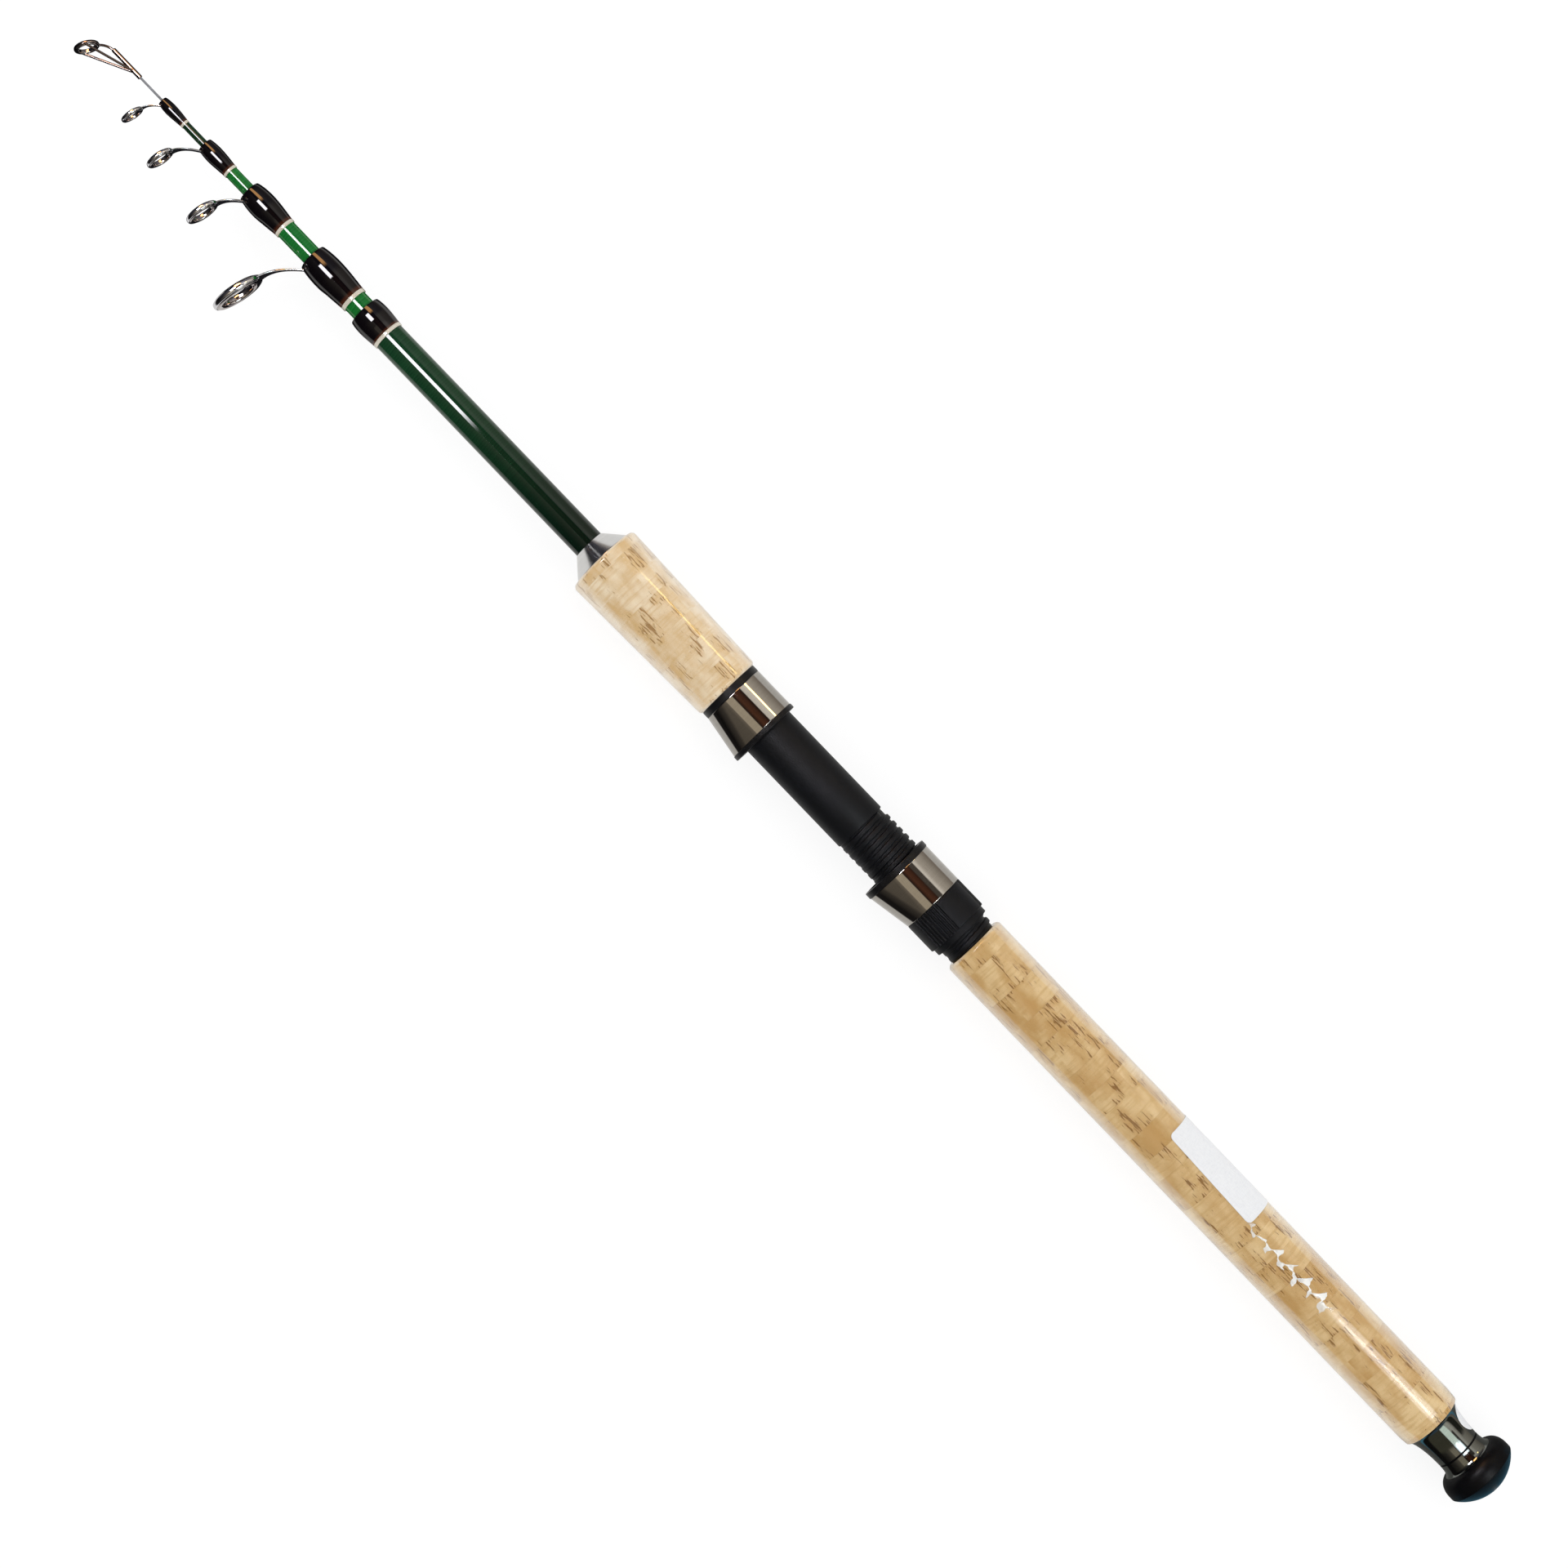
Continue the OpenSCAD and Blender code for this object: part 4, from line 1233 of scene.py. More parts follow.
@dataclass(frozen=True)
class Whipping:
    """A lacquered whipping with its trim band, at the front end of a blank."""

    blank: Blank
    length: float
    build: float
    trim_length: float
    trim_build: float
    cap: float = 0.8
    peak: float = 0.6
    fullness: float = 0.75
    foot_lead: float = 2.0
    foot_ramp: float = 5.0
    foot_half: float = 1.5
    foot_share: float = 0.35
    rows: ClassVar[int] = 49

    @property
    def front(self) -> float:
        """Front end of the lacquer, past the end of the blank."""
        return self.blank.front + self.cap

    def outline(self) -> Outline:
        """Works out the lacquer's profile.

        With t from 0 at the trim band to 1 at the front, the radius is the blank's plus
        edge + (build - edge) sin(pi t^k)^fullness, where k puts the widest part at the peak.

        Returns:
            Outline from the trim band over the front end to the blank.
        """
        t = np.linspace(0.0, 1.0, self.rows)
        x = self.front - self.length * (1.0 - t)
        swell = np.sin(math.pi * t ** (math.log(0.5) / math.log(self.peak))).clip(0.0)
        swell = self.trim_build + (self.build - self.trim_build) * swell ** self.fullness
        r = self.blank.radius(x) + BOND + swell
        bore, end = self.blank.front_r - self.blank.wall, self.blank.front + BOND
        return [(x[0], self.blank.radius(x[0]) + BOND, 0.0), *cornered(x[:-1], r[:-1]),
                (x[-1], r[-1], 0.45), (x[-1], bore, 0.25), (end, bore, 0.0),
                (end, self.blank.radius(end) + BOND, 0.0)]

    def lacquer(self, foot: Triple | None = None) -> Skin:
        """Makes the whipping, which rises over a guide's foot by a bell round the foot's angle.

        Args:
            foot: Angle in degrees of the guide's foot, its length and its thickness, or None.

        Returns:
            The skin of the whipping.
        """
        rows, angles = eased(self.outline()), even_angles(SIDES)
        x, radius = rows[:, :1], np.repeat(rows[:, 1:], SIDES, axis=1)
        if foot:
            angle, length, thick = foot
            off = apart(angles, math.radians(angle))
            bell = np.exp(-(off * self.blank.front_r / self.foot_half) ** 2)
            t = held((x - self.front + length + self.foot_lead) / self.foot_ramp)
            outside = rows[:, 1:] > self.blank.radius(x) + 0.1
            radius = radius + self.foot_share * thick * bell * t ** 2 * (3 - 2 * t) * outside
        return revolved(rows[:, 0], radius, angles)

    def trim(self) -> Skin:
        """Works out the trim band, a low crowned ring.

        Returns:
            The band's skin.
        """
        x1 = self.front - self.length - BOND
        x0 = x1 - self.trim_length
        low, high = (self.blank.radius(x1) + BOND + h for h in (0.0, self.trim_build))
        return lathe([(x0, low, 0.0), (x0, high, 0.3), (x1, high, 0.2), (x1, low, 0.0)])

    def build_pieces(self, name: str, body: str, foot: Triple | None = None) -> None:
        """Makes the whipping and its trim band as pieces of a body.

        Args:
            name: Start of the pieces' names.
            body: Body that they ride.
            foot: Angle, length and thickness of the guide's foot, or None.
        """
        lacquer = WhippingLacquer(f"{name}_whipping_thread", self.front - self.length, self.length)
        make_piece(f"{name}_wound", self.lacquer(foot), lacquer, body, f"{name}_whipping")
        make_piece(f"{name}_trim", self.trim(), TrimThread(), body, f"{name}_trim_band")


GREEN = BlankLacquer("green_lacquered_tape", (0.015, 0.205, 0.034), (0.006, 0.100, 0.018))
# The base tape is painted with shade that darkens it from 605 mm towards the fore grip at 490 mm.
BASE_GREEN = BlankLacquer("base_lacquered_tape", (0.011, 0.056, 0.021), (0.005, 0.030, 0.012),
                          (0.0022, 0.009, 0.0050), 605.0, 490.0)
DARK_GREEN = BlankLacquer("slim_lacquered_tape", (0.008, 0.040, 0.014), (0.003, 0.018, 0.007))


@dataclass
class BaseTube:
    """The base blank with its whipping and the winding check in front of the fore grip."""

    blank: Blank = Blank(620.1, 6.6, 6.2, 0.9)
    wrap: tuple[float, float, float, float] = (12.0, 1.0, 1.5, 0.45)
    check_x: float = 489.9
    check_len: float = 7.6
    check_d: float = 26.4
    check_edge: float = 0.25

    def build(self) -> None:
        """Makes the pieces of the base."""
        make_piece("base_tube", self.blank.tube(), BASE_GREEN, "handle", "base_blank")
        Whipping(self.blank, *self.wrap).build_pieces("base", "handle")
        x0, x1 = self.check_x, self.check_x + self.check_len
        low = [self.blank.radius(x) + BOND for x in (x0, x1)]
        cone = lathe([(x0, low[0], 0.0), (x0, self.check_d / 2, 0.3),
                      (x1, low[1] + self.check_edge, 0.1), (x1, low[1], 0.0)])
        plate = Plating(PlateTone.BRIGHT)
        make_piece("winding_check_cone", cone, plate, "handle", "winding_check")


@dataclass
class CorkGrip:
    """A cork grip under clear film."""

    name: str
    outline: Outline  # of the cork, from the butt side to the tip side
    bore: float  # radius of the blank inside
    grade: CorkGrade
    wrinkle_highlights: tuple[float, float]  # stretch along the rod where highlights are painted on the film's wrinkles
    film: float = 0.2  # thickness of the film

    def build(self) -> None:
        """Makes the cork and its film."""
        first, last = self.outline[0][0], self.outline[-1][0]
        cork = lathe([(first, self.bore, 0.0), *self.outline, (last, self.bore, 0.0)])
        make_piece(f"{self.name}_cork", cork, Cork(self.grade), "handle", self.name)
        inner = [(x, r + BOND, rounding) for x, r, rounding in self.outline]
        outer = [(x, r + self.film, rounding) for x, r, rounding in inner]
        sleeve = lathe(inner + outer[::-1])
        finish = ShrinkFilm(f"{self.name}_clear_film", *self.wrinkle_highlights)
        make_piece(f"{self.name}_sleeve", sleeve, finish, "handle", f"{self.name}_film")


@dataclass(frozen=True)
class HoodForm:
    """The loft of a reel seat hood from its round closed end to its mouth.

    The mouth is the outline round a circle on the axis and a crown circle towards the reel foot. A
    point with normal angle n is the circle's centre plus its radius along n, taken from whichever
    circle reaches further along n. At share v of the length the point is the mean of the round
    end's point and the mouth's, weighed 1-v and v.
    """

    length: float = 17.4
    round_r: float = 13.2
    crown_r: float = 11.3
    rise: float = 4.8
    wall: float = 0.9
    lip_proud: float = 0.25
    lip_t: float = 0.9
    pocket: float = 13.0
    pocket_r: float = 9.7
    columns: ClassVar[int] = 240
    pocket_rows: ClassVar[int] = 24

    def rings(self, x: Array, share: Array, round_r: Array, crown_r: Array) -> Array:
        """Works out rows of points round the hood.

        Args:
            x: Place of each row, from the closed end.
            share: Share of the length of each row.
            round_r: Radius of the circle on the axis in each row.
            crown_r: Radius of the crown circle in each row.

        Returns:
            Grid of points.
        """
        n = even_angles(self.columns)
        v, r, c = share[:, None], round_r[:, None], crown_r[:, None]
        crown = self.rise * np.cos(n) + c > r
        mouth_y = np.where(crown, self.rise + c * np.cos(n), r * np.cos(n))
        mouth_z = np.where(crown, c * np.sin(n), r * np.sin(n))
        y = r * np.cos(n) * (1 - v) + v * mouth_y
        z = r * np.sin(n) * (1 - v) + v * mouth_z
        return np.stack(np.broadcast_arrays(x[:, None], y, z), axis=-1)

    def wrapped(self, outline: Outline) -> Array:
        """Lays an outline of (place, inset, rounding) points round the hood.

        Args:
            outline: Places from the closed end, and distances inside the hood's outer face.

        Returns:
            Grid of points.
        """
        x, inset = eased(outline).T
        return self.rings(x, held(x / self.length), self.round_r - inset, self.crown_r - inset)

    def shell(self) -> Array:
        """Returns the plated shell's points, outer and inner face with eased edges."""
        end, wall = self.length, self.wall
        return self.wrapped([(0.0, wall, 0.1), (0.0, 0.0, 0.25),
                             (end, 0.0, 0.25), (end, wall, 0.1)])

    def liner(self, start: float, lip: float, bore: float) -> Array:
        """Works out the black liner with its lip and the pocket for the reel foot.

        Args:
            start: Where the liner starts inside the shell.
            lip: Length of the lip past the shell.
            bore: Radius of the bore round the barrel.

        Returns:
            Grid of points.
        """
        inset, proud, end = self.wall + BOND, -self.lip_proud, self.length + lip
        outer = self.wrapped([(start, inset + 0.3, 0.0), (start, inset, 0.1),
                              (self.length, inset, 0.0), (self.length, proud, 0.25),
                              (end, proud, 0.45), (end, proud + self.lip_t, 0.0)])
        x = np.linspace(end, start, self.pocket_rows)
        share = held((x - end + self.pocket) / self.pocket)
        inner = self.rings(x, share, np.full_like(x, bore), np.full_like(x, self.pocket_r))
        return np.concatenate([outer, inner])


def faced(points: Array, closed_end: float, forwards: bool) -> Skin:
    """Sets a hood's points with its closed end at a place along the rod.

    Args:
        points: Grid of points, measured from the closed end.
        closed_end: Place of the closed end.
        forwards: Whether the mouth faces the tip.

    Returns:
        The hood's skin.
    """
    way = np.array([1.0 if forwards else -1.0, 1.0, 1.0])
    return woven(points * way + np.array([closed_end, 0.0, 0.0]), capped=False)


@dataclass
class ReelSeat:
    """The fixed parts of the reel seat: barrel, front hood, washer and arbors."""

    barrel_x: float = 286.8
    barrel_end: float = 418.4
    barrel_r: float = 11.0
    barrel_bore: float = 7.7
    core_r: float = 10.2
    thread_x: float = 288.05
    thread_end: float = 348.4
    thread_turns: float = 17.35
    pitch: float = 3.4
    thread_w: tuple[float, float] = (1.2, 2.3)
    relief: float = 0.62
    edge: float = 0.3
    edge_drop: float = 0.25
    keyway_end: float = 368.8
    keyway_w: float = 3.0
    keyway_floor: float = 10.1
    washer_x: float = 421.3
    washer_bore: float = 6.36
    lip: float = 2.0
    form: HoodForm = HoodForm()
    columns: ClassVar[int] = 160
    step: ClassVar[float] = 0.17
    hair: ClassVar[float] = 0.004

    def places(self) -> Array:
        """Works out the rows of the barrel, close together along the thread.

        Returns:
            Places along the rod, from the bore's rear edge over the outside to the bore again.
        """
        x, mid, key, end = self.barrel_x, self.thread_end, self.keyway_end, self.barrel_end
        return np.concatenate([
            [x, x, x + self.edge], np.arange(x + 0.5, mid, self.step),
            [mid, mid + 0.25, mid + 0.5, key - 0.05, key + 0.05, end - self.edge, end, end, x]])

    def barrel(self) -> Skin:
        """Works out the barrel as a height over angle and place.

        The radius is the core's plus the thread's ridge, and the full radius past the thread. The
        ridge's height h is rounded to the root of h (2 - h). Towards the reel foot the thread is
        shallower: its height about the mean radius shrinks by the relief times cos^2 a. In the
        keyway, where |y| is less than half its width below the axis, the radius stops at the flat
        floor, floor / |sin a|.

        Returns:
            The barrel's skin.
        """
        half = math.asin(self.keyway_w / 2 / self.barrel_r)
        sides = 1.5 * math.pi + np.add.outer([-half, half], [-self.hair, self.hair]).ravel()
        a = np.sort(np.concatenate([even_angles(self.columns), sides]))[None, :]
        place = self.places()
        x = place[:, None]
        ridge = helix(x, a, self.thread_x, self.pitch, self.thread_w, self.thread_turns)
        ridge = np.sqrt(ridge * (2.0 - ridge))
        plain = held((x - self.thread_end) / self.edge)
        r = self.core_r + (self.barrel_r - self.core_r) * np.maximum(ridge, plain)
        mean = (self.core_r + self.barrel_r) / 2
        shrunk = self.relief * np.cos(a).clip(0.0) ** 2 * (1.0 - plain)
        r = mean + (r - mean) * (1.0 - shrunk)
        below = (np.sin(a) < 0) & (np.abs(np.cos(a)) < math.sin(half))
        floor = self.keyway_floor / np.maximum(np.abs(np.sin(a)), 0.5)
        r = np.where(below & (x < self.keyway_end), np.minimum(r, floor), r)
        r[[0, -2, -1]] = self.barrel_bore
        r[[1, -3]] -= self.edge_drop
        return revolved(place, r, a[0])

    def build(self, frame: dict[str, Any]) -> None:
        """Makes the pieces of the seat that are fixed to the handle.

        Args:
            frame: The loaded frame.
        """
        make_piece("reel_seat_barrel", self.barrel(), BLACK_PLASTIC, "handle", "seat_barrel")
        end, front, r, bore = self.barrel_end, self.washer_x, self.form.round_r, self.washer_bore
        washer = lathe([(end, bore, 0.0), (end, r, 0.3), (front, r, 0.3), (front, bore, 0.0)])
        make_piece("black_washer", washer, BLACK_LINER, "handle", "seat_washer")
        shell = faced(self.form.shell(), end, forwards=False)
        plate = Plating(PlateTone.SMOKED)
        make_piece("front_hood_plated", shell, plate, "handle", "front_hood_shell")
        liner = faced(self.form.liner(0.0, self.lip, self.barrel_r + BOND), end, forwards=False)
        make_piece("front_hood_lip", liner, BLACK_LINER, "handle", "front_hood_liner")
        board = FibreSheet("fibre_board", (0.50, 0.38, 0.24), (0.30, 0.21, 0.12), "fibre")
        dress_node(frame, "seat_arbors", board)


@dataclass
class SlidingHood:
    """The hood that the lock nut drives, with the key that runs in the barrel's keyway."""

    closed_end: float = 308.7
    start: float = 4.2
    lip: float = 2.6
    bore: float = 11.25
    key_w: float = 2.6
    key_in: float = 10.6
    key_out: float = 12.0
    key_squareness: float = 8.0
    form: HoodForm = HoodForm()
    key_rows: ClassVar[int] = 10

    def key(self) -> Skin:
        """Works out the key, a rounded bar on the underside of the bore.

        Returns:
            The key's skin.
        """
        ends = self.closed_end + np.array([self.start, self.form.length + self.lip])
        path = np.zeros((self.key_rows, 3))
        path[:, 0] = np.linspace(*ends, self.key_rows)
        path[:, 2] = -(self.key_in + self.key_out) / 2
        out = np.repeat(UP[None], self.key_rows, axis=0)
        width = np.full(self.key_rows, self.key_w)
        thick = np.full(self.key_rows, self.key_out - self.key_in)
        return swept(path, out, width, thick, self.key_squareness)

    def build(self) -> None:
        """Makes the sliding hood's pieces."""
        body, end = "sliding_hood", self.closed_end
        shell = faced(self.form.shell(), end, forwards=True)
        plate = Plating(PlateTone.SMOKED)
        make_piece("sliding_hood_plated", shell, plate, body, "sliding_hood_shell")
        liner = faced(self.form.liner(self.start, self.lip, self.bore), end, forwards=True)
        lip = Skin.joined([liner, self.key()])
        make_piece("sliding_hood_lip", lip, BLACK_LINER, body, "sliding_hood_liner")


@dataclass
class LockNut:
    """The ribbed lock nut behind the sliding hood."""

    rear: float = 292.6
    ribbed: float = 295.3
    front: float = 308.6
    neck_end: float = 312.6
    step_r: float = 12.3
    ribbed_r: float = 13.2
    neck_r: float = 12.1
    bore_r: float = 11.3
    tooth_r: float = 10.5
    tooth_x: float = 296.55
    tooth_w: tuple[float, float] = (0.76, 1.69)
    tooth_turns: float = 4.0
    pitch: float = 3.4
    groups: int = 3
    grooves: int = 8
    groove_angle: float = 7.0
    groove_r: float = 0.5
    edge: float = 0.2
    columns: ClassVar[int] = 600
    bore_rows: ClassVar[int] = 100

    def outside(self) -> Array:
        """Returns the profile of the nut's outside, from the bore's rear edge to its front edge."""
        return eased([(self.rear, self.bore_r, 0.1), (self.rear, self.step_r, 0.3),
                      (self.ribbed, self.step_r, 0.05), (self.ribbed, self.ribbed_r, 0.5),
                      (self.front, self.ribbed_r, 0.5), (self.front, self.neck_r, 0.05),
                      (self.neck_end, self.neck_r, 0.2),
                      (self.neck_end, self.bore_r, 0.1)], steps=4)

    def skin(self) -> Skin:
        """Works out the nut as a height over angle and place.

        Each groove is a half-round cut: at distance d round the nut from its middle the radius
        drops by sqrt(groove_r^2 - d^2). Inside, the bore drops to the tooth's crest along a helix.

        Returns:
            The nut's skin.
        """
        a, outer = even_angles(self.columns), self.outside()
        groups = np.arange(self.groups)[:, None] * TURN / self.groups
        fan = np.radians(self.groove_angle) * np.arange(self.grooves)
        middles = math.pi / 2 - (groups + fan).ravel()
        off = np.abs(apart(a[None, :], middles[:, None])).min(axis=0) * self.ribbed_r
        cut = np.sqrt(np.maximum(self.groove_r ** 2 - off ** 2, 0.0))
        r = np.repeat(outer[:, 1:], len(a), axis=1)
        ribs = held((r - self.step_r) / (self.ribbed_r - self.step_r))
        inside = (outer[:, :1] > self.ribbed - 0.01) & (outer[:, :1] < self.front + 0.01)
        r = np.where(inside, r - cut * ribs, r)
        x_in = np.linspace(self.neck_end - self.edge, self.rear + self.edge, self.bore_rows)
        teeth = helix(x_in[:, None], a[None, :], self.tooth_x, self.pitch, self.tooth_w,
                      self.tooth_turns)
        r_in = self.bore_r - (self.bore_r - self.tooth_r) * teeth
        return revolved(np.concatenate([outer[:, 0], x_in]), np.concatenate([r, r_in]), a)

    def build(self) -> None:
        """Makes the nut."""
        make_piece("ribbed_nut", self.skin(), BLACK_PLASTIC, "lock_nut", "lock_nut")


@dataclass
class ButtEnd:
    """The flared collar, the screw cap and the rubber button."""

    nest_x: float = 12.8
    collar_x: float = 20.8
    collar_end: float = 35.2
    waist_r: float = 9.4
    collar_r: float = 12.6
    spigot_r: float = 8.2
    spigot_edge: float = 0.3
    bore_r: float = 6.62
    groove_x: float = 13.8
    groove_pitch: float = 1.5
    groove_w: tuple[float, float] = (0.2, 1.0)
    groove_turns: float = 4.0
    groove_depth: float = 0.45
    cap_x: float = 5.0
    cap_front: float = 20.0
    cap_r: float = 10.0
    cap_rim_r: float = 10.9
    cap_gap: float = 0.1
    pad_x: float = 6.5
    button_len: float = 15.0
    button_r: float = 15.0
    button_band: float = 2.0
    button_dome: float = 7.4
    flat_r: float = 3.0
    mouth_r: float = 11.3
    columns: ClassVar[int] = 120
    spigot_rows: ClassVar[int] = 60
    flare_rows: ClassVar[int] = 33
    curve_rows: ClassVar[int] = 25

    def flare(self, x: Array) -> Array:
        """Returns the collar's radius at a place along the rod: its flare is a quarter ellipse."""
        q = held((x - self.collar_x) / (self.collar_end - self.collar_x))
        return self.waist_r + (self.collar_r - self.waist_r) * (1 - np.sqrt(1 - q ** 2))

    def collar(self) -> Skin:
        """Works out the collar as a height over angle and place.

        The flare's radius runs from the waist to the grip as 1 - cos(90 t) while the place runs as
        sin(90 t). The spigot has a fine helical groove for the cap.

        Returns:
            The collar's skin.
        """
        t = quarter(self.flare_rows)
        x = self.collar_x + (self.collar_end - self.collar_x) * np.sin(t)
        r = self.waist_r + (self.collar_r - self.waist_r) * (1 - np.cos(t))
        rear, front = self.nest_x + self.spigot_edge, self.collar_x - 0.01
        spigot = np.linspace(rear, front, self.spigot_rows)
        place = np.concatenate([[self.nest_x, self.nest_x], spigot, x, [self.collar_end]])
        radius = np.concatenate([[self.bore_r, self.spigot_r - self.spigot_edge],
                                 np.full_like(spigot, self.spigot_r), r, [self.bore_r]])
        a = even_angles(self.columns)
        groove = helix(place[:, None], a[None, :], self.groove_x, self.groove_pitch, self.groove_w,
                       self.groove_turns)
        outside = (radius == self.spigot_r)[:, None]
        return revolved(place, radius[:, None] - self.groove_depth * groove * outside, a)

    def cap(self) -> Skin:
        """Works out the screw cap, a cup that draws in from its flared rim to the waist.

        From the rim the place runs as 1 - cos(90 t) while the radius runs as sin(90 t).

        Returns:
            The cap's skin.
        """
        t = quarter(self.curve_rows)
        rim = self.button_len + BOND
        x = rim + (self.cap_front - rim) * (1 - np.cos(t))
        r = self.cap_rim_r + (self.waist_r - self.cap_rim_r) * np.sin(t)
        bore = self.spigot_r + self.cap_gap
        return lathe([(self.cap_x, 0.0, 0.0), (self.cap_x, self.cap_r, 0.3), (rim, self.cap_r, 0.0),
                      *cornered(x, r), (self.cap_front, bore, 0.1), (self.pad_x, bore, 0.1),
                      (self.pad_x, 0.0, 0.0)], capped=True)

    def button(self) -> Skin:
        """Works out the button: a flat, a dome on a sphere, a straight band and a rolled edge.

        The sphere passes through the flat's edge and the band's edge. The roll is a quarter
        ellipse.

        Returns:
            The button's skin.
        """
        across = self.button_r ** 2 - self.flat_r ** 2 + self.button_dome ** 2
        centre = across / (2 * self.button_dome)
        ball = math.hypot(self.flat_r, centre)
        lean = [math.asin(r / ball) for r in (self.flat_r, self.button_r)]
        a = np.linspace(*lean, self.curve_rows)[:-1]
        band = self.button_dome + self.button_band
        t = quarter(self.curve_rows)
        x = band + (self.button_len - band) * np.sin(t)
        r = self.mouth_r + (self.button_r - self.mouth_r) * np.cos(t)
        cup, seat = self.cap_r + BOND, self.cap_x - BOND
        return lathe([(0.0, 0.0, 0.0), *cornered(centre - ball * np.cos(a), ball * np.sin(a)),
                      (self.button_dome, self.button_r, 0.8), *cornered(x, r),
                      (self.button_len, cup, 0.1), (seat, cup, 0.1), (seat, 0.0, 0.0)], capped=True)

    def build(self, frame: dict[str, Any]) -> None:
        """Makes the butt end's pieces.

        Args:
            frame: The loaded frame.
        """
        plate = Plating(PlateTone.GUNMETAL)
        make_piece("flared_collar", self.collar(), plate, "handle", "butt_collar")
        make_piece("screw_cap", self.cap(), plate, "butt_cap", "butt_cap")
        make_piece("rubber_button", self.button(), BLACK_RUBBER, "butt_cap", "butt_button")
        for node in ("butt_pad", "butt_seal"):
            dress_node(frame, node, BLACK_RUBBER)


@dataclass(frozen=True)
class StickerForm:
    """Blank paper stuck on a round surface.

    A place (u, v) on the sheet lies at x + u along the rod and at v / r round it. Rows of the grid
    are the sheet's rounded outline shrunk towards its middle, first on its face and then on its
    back.
    """

    name: str
    x: float
    angle: float
    half_x: float
    half_round: float
    corner: float
    skew: float
    thick: float = 0.08
    edge_drop: float = 0.03
    rows: ClassVar[int] = 40
    columns: ClassVar[int] = 240
    corner_rows: ClassVar[int] = 24

    def edge(self) -> tuple[Array, Array]:
        """Works out the sheet's outline: four quarter circles joined by straight edges.

        Returns:
            Places along and round the rod, evenly spaced on the outline.
        """
        a = np.linspace(0.0, math.pi / 2, self.corner_rows)
        a = a + np.arange(4)[:, None] * math.pi / 2
        way = np.array([[1.0, 1.0], [-1.0, 1.0], [-1.0, -1.0], [1.0, -1.0]])[:, None]
        middle = way * (np.array([self.half_x, self.half_round]) - self.corner)
        line = (middle + self.corner * np.stack([np.cos(a), np.sin(a)], axis=-1)).reshape(-1, 2)
        line = np.concatenate([line, line[:1]])
        steps = np.linalg.norm(np.diff(line, axis=0), axis=1) + LEAST_STEP
        run = np.concatenate([[0.0], np.cumsum(steps)])
        at = np.linspace(0.0, run[-1], self.columns, endpoint=False)
        return np.interp(at, run, line[:, 0]), np.interp(at, run, line[:, 1])

    def skin(self, radius: Callable[[Array], Array]) -> Skin:
        """Lays the sheet on a surface.

        Args:
            radius: Function from the place along the rod to the radius of the surface.

        Returns:
            The sheet's skin.
        """
        u, v = self.edge()
        s, c = sin_cos(self.skew)
        u, v = u * c - v * s, u * s + v * c
        rho = np.concatenate([np.linspace(0.0, 0.99, self.rows), [1.0]])
        rho = np.concatenate([rho, rho[::-1]])[:, None]
        lift = np.repeat([self.thick, BOND], len(rho) // 2)[:, None]
        lift = lift - self.edge_drop * (rho == 1.0) * (lift > BOND)
        x = self.x + rho * u
        r = radius(x) + lift
        angle = math.radians(self.angle) + rho * v / radius(x)
        return woven(np.stack([x, r * np.cos(angle), r * np.sin(angle)], axis=-1), capped=True)


@dataclass
class Stickers:
    """The blank label on the rear grip and the blank round sticker on the collar."""

    film_r: float = 13.22
    label: StickerForm = StickerForm("blank_label", 161.2, 165.5, 22.5, 15.0, 2.0, 1.8)
    round_one: StickerForm = StickerForm("blank_sticker", 28.4, 174.0, 6.0, 6.0, 6.0, 0.0)

    def build(self, butt: ButtEnd) -> None:
        """Makes both stickers.

        Args:
            butt: The butt end, on whose collar the round one sticks.
        """
        paper = FibreSheet("white_label_paper", (0.85, 0.86, 0.87), (0.78, 0.79, 0.81))
        label = self.label.skin(lambda x: np.full_like(x, self.film_r))
        make_piece(self.label.name, label, paper, "handle")
        make_piece(self.round_one.name, self.round_one.skin(butt.flare), paper, "handle")


@dataclass(frozen=True)
class RingForm:
    """A guide's wear ring in its band, drawn about X."""

    outer_d: float
    hole_d: float
    band_w: float
    band_t: float = 0.7
    land: float = 1.0
    band_edge: float = 0.25
    lip_rows: ClassVar[int] = 14
    crown_rows: ClassVar[int] = 17

    @property
    def hoop(self) -> float:
        """Radius of the middle of the band."""
        return (self.outer_d - self.band_t) / 2

    def wear(self) -> Skin:
        """Works out the wear ring: a stadium section with half-round lips, turned about X.

        Returns:
            The ring's skin.
        """
        out = self.outer_d / 2 - self.band_t - BOND
        t = out - self.hole_d / 2
        a = np.linspace(-math.pi / 2, math.pi / 2, self.lip_rows)
        lip = self.land / 2 + t / 2 * np.cos(a)
        r = self.hole_d / 2 + t / 2 + t / 2 * np.concatenate([np.sin(a), -np.sin(a)])
        return revolved(np.concatenate([lip, -lip]), r)

    def band(self) -> Skin:
        """Works out the band: a hoop round the wear ring, crowned like half an ellipse.

        Returns:
            The band's skin.
        """
        w, r = self.band_w / 2, self.outer_d / 2
        a = np.linspace(0.0, math.pi, self.crown_rows)
        x = np.concatenate([[-w], -w * np.cos(a), [w]])
        crown = self.band_edge + (1.0 - self.band_edge) * np.sin(a)
        crown = np.concatenate([[0.0], crown, [0.0]])
        return revolved(x, r - self.band_t + self.band_t * crown)


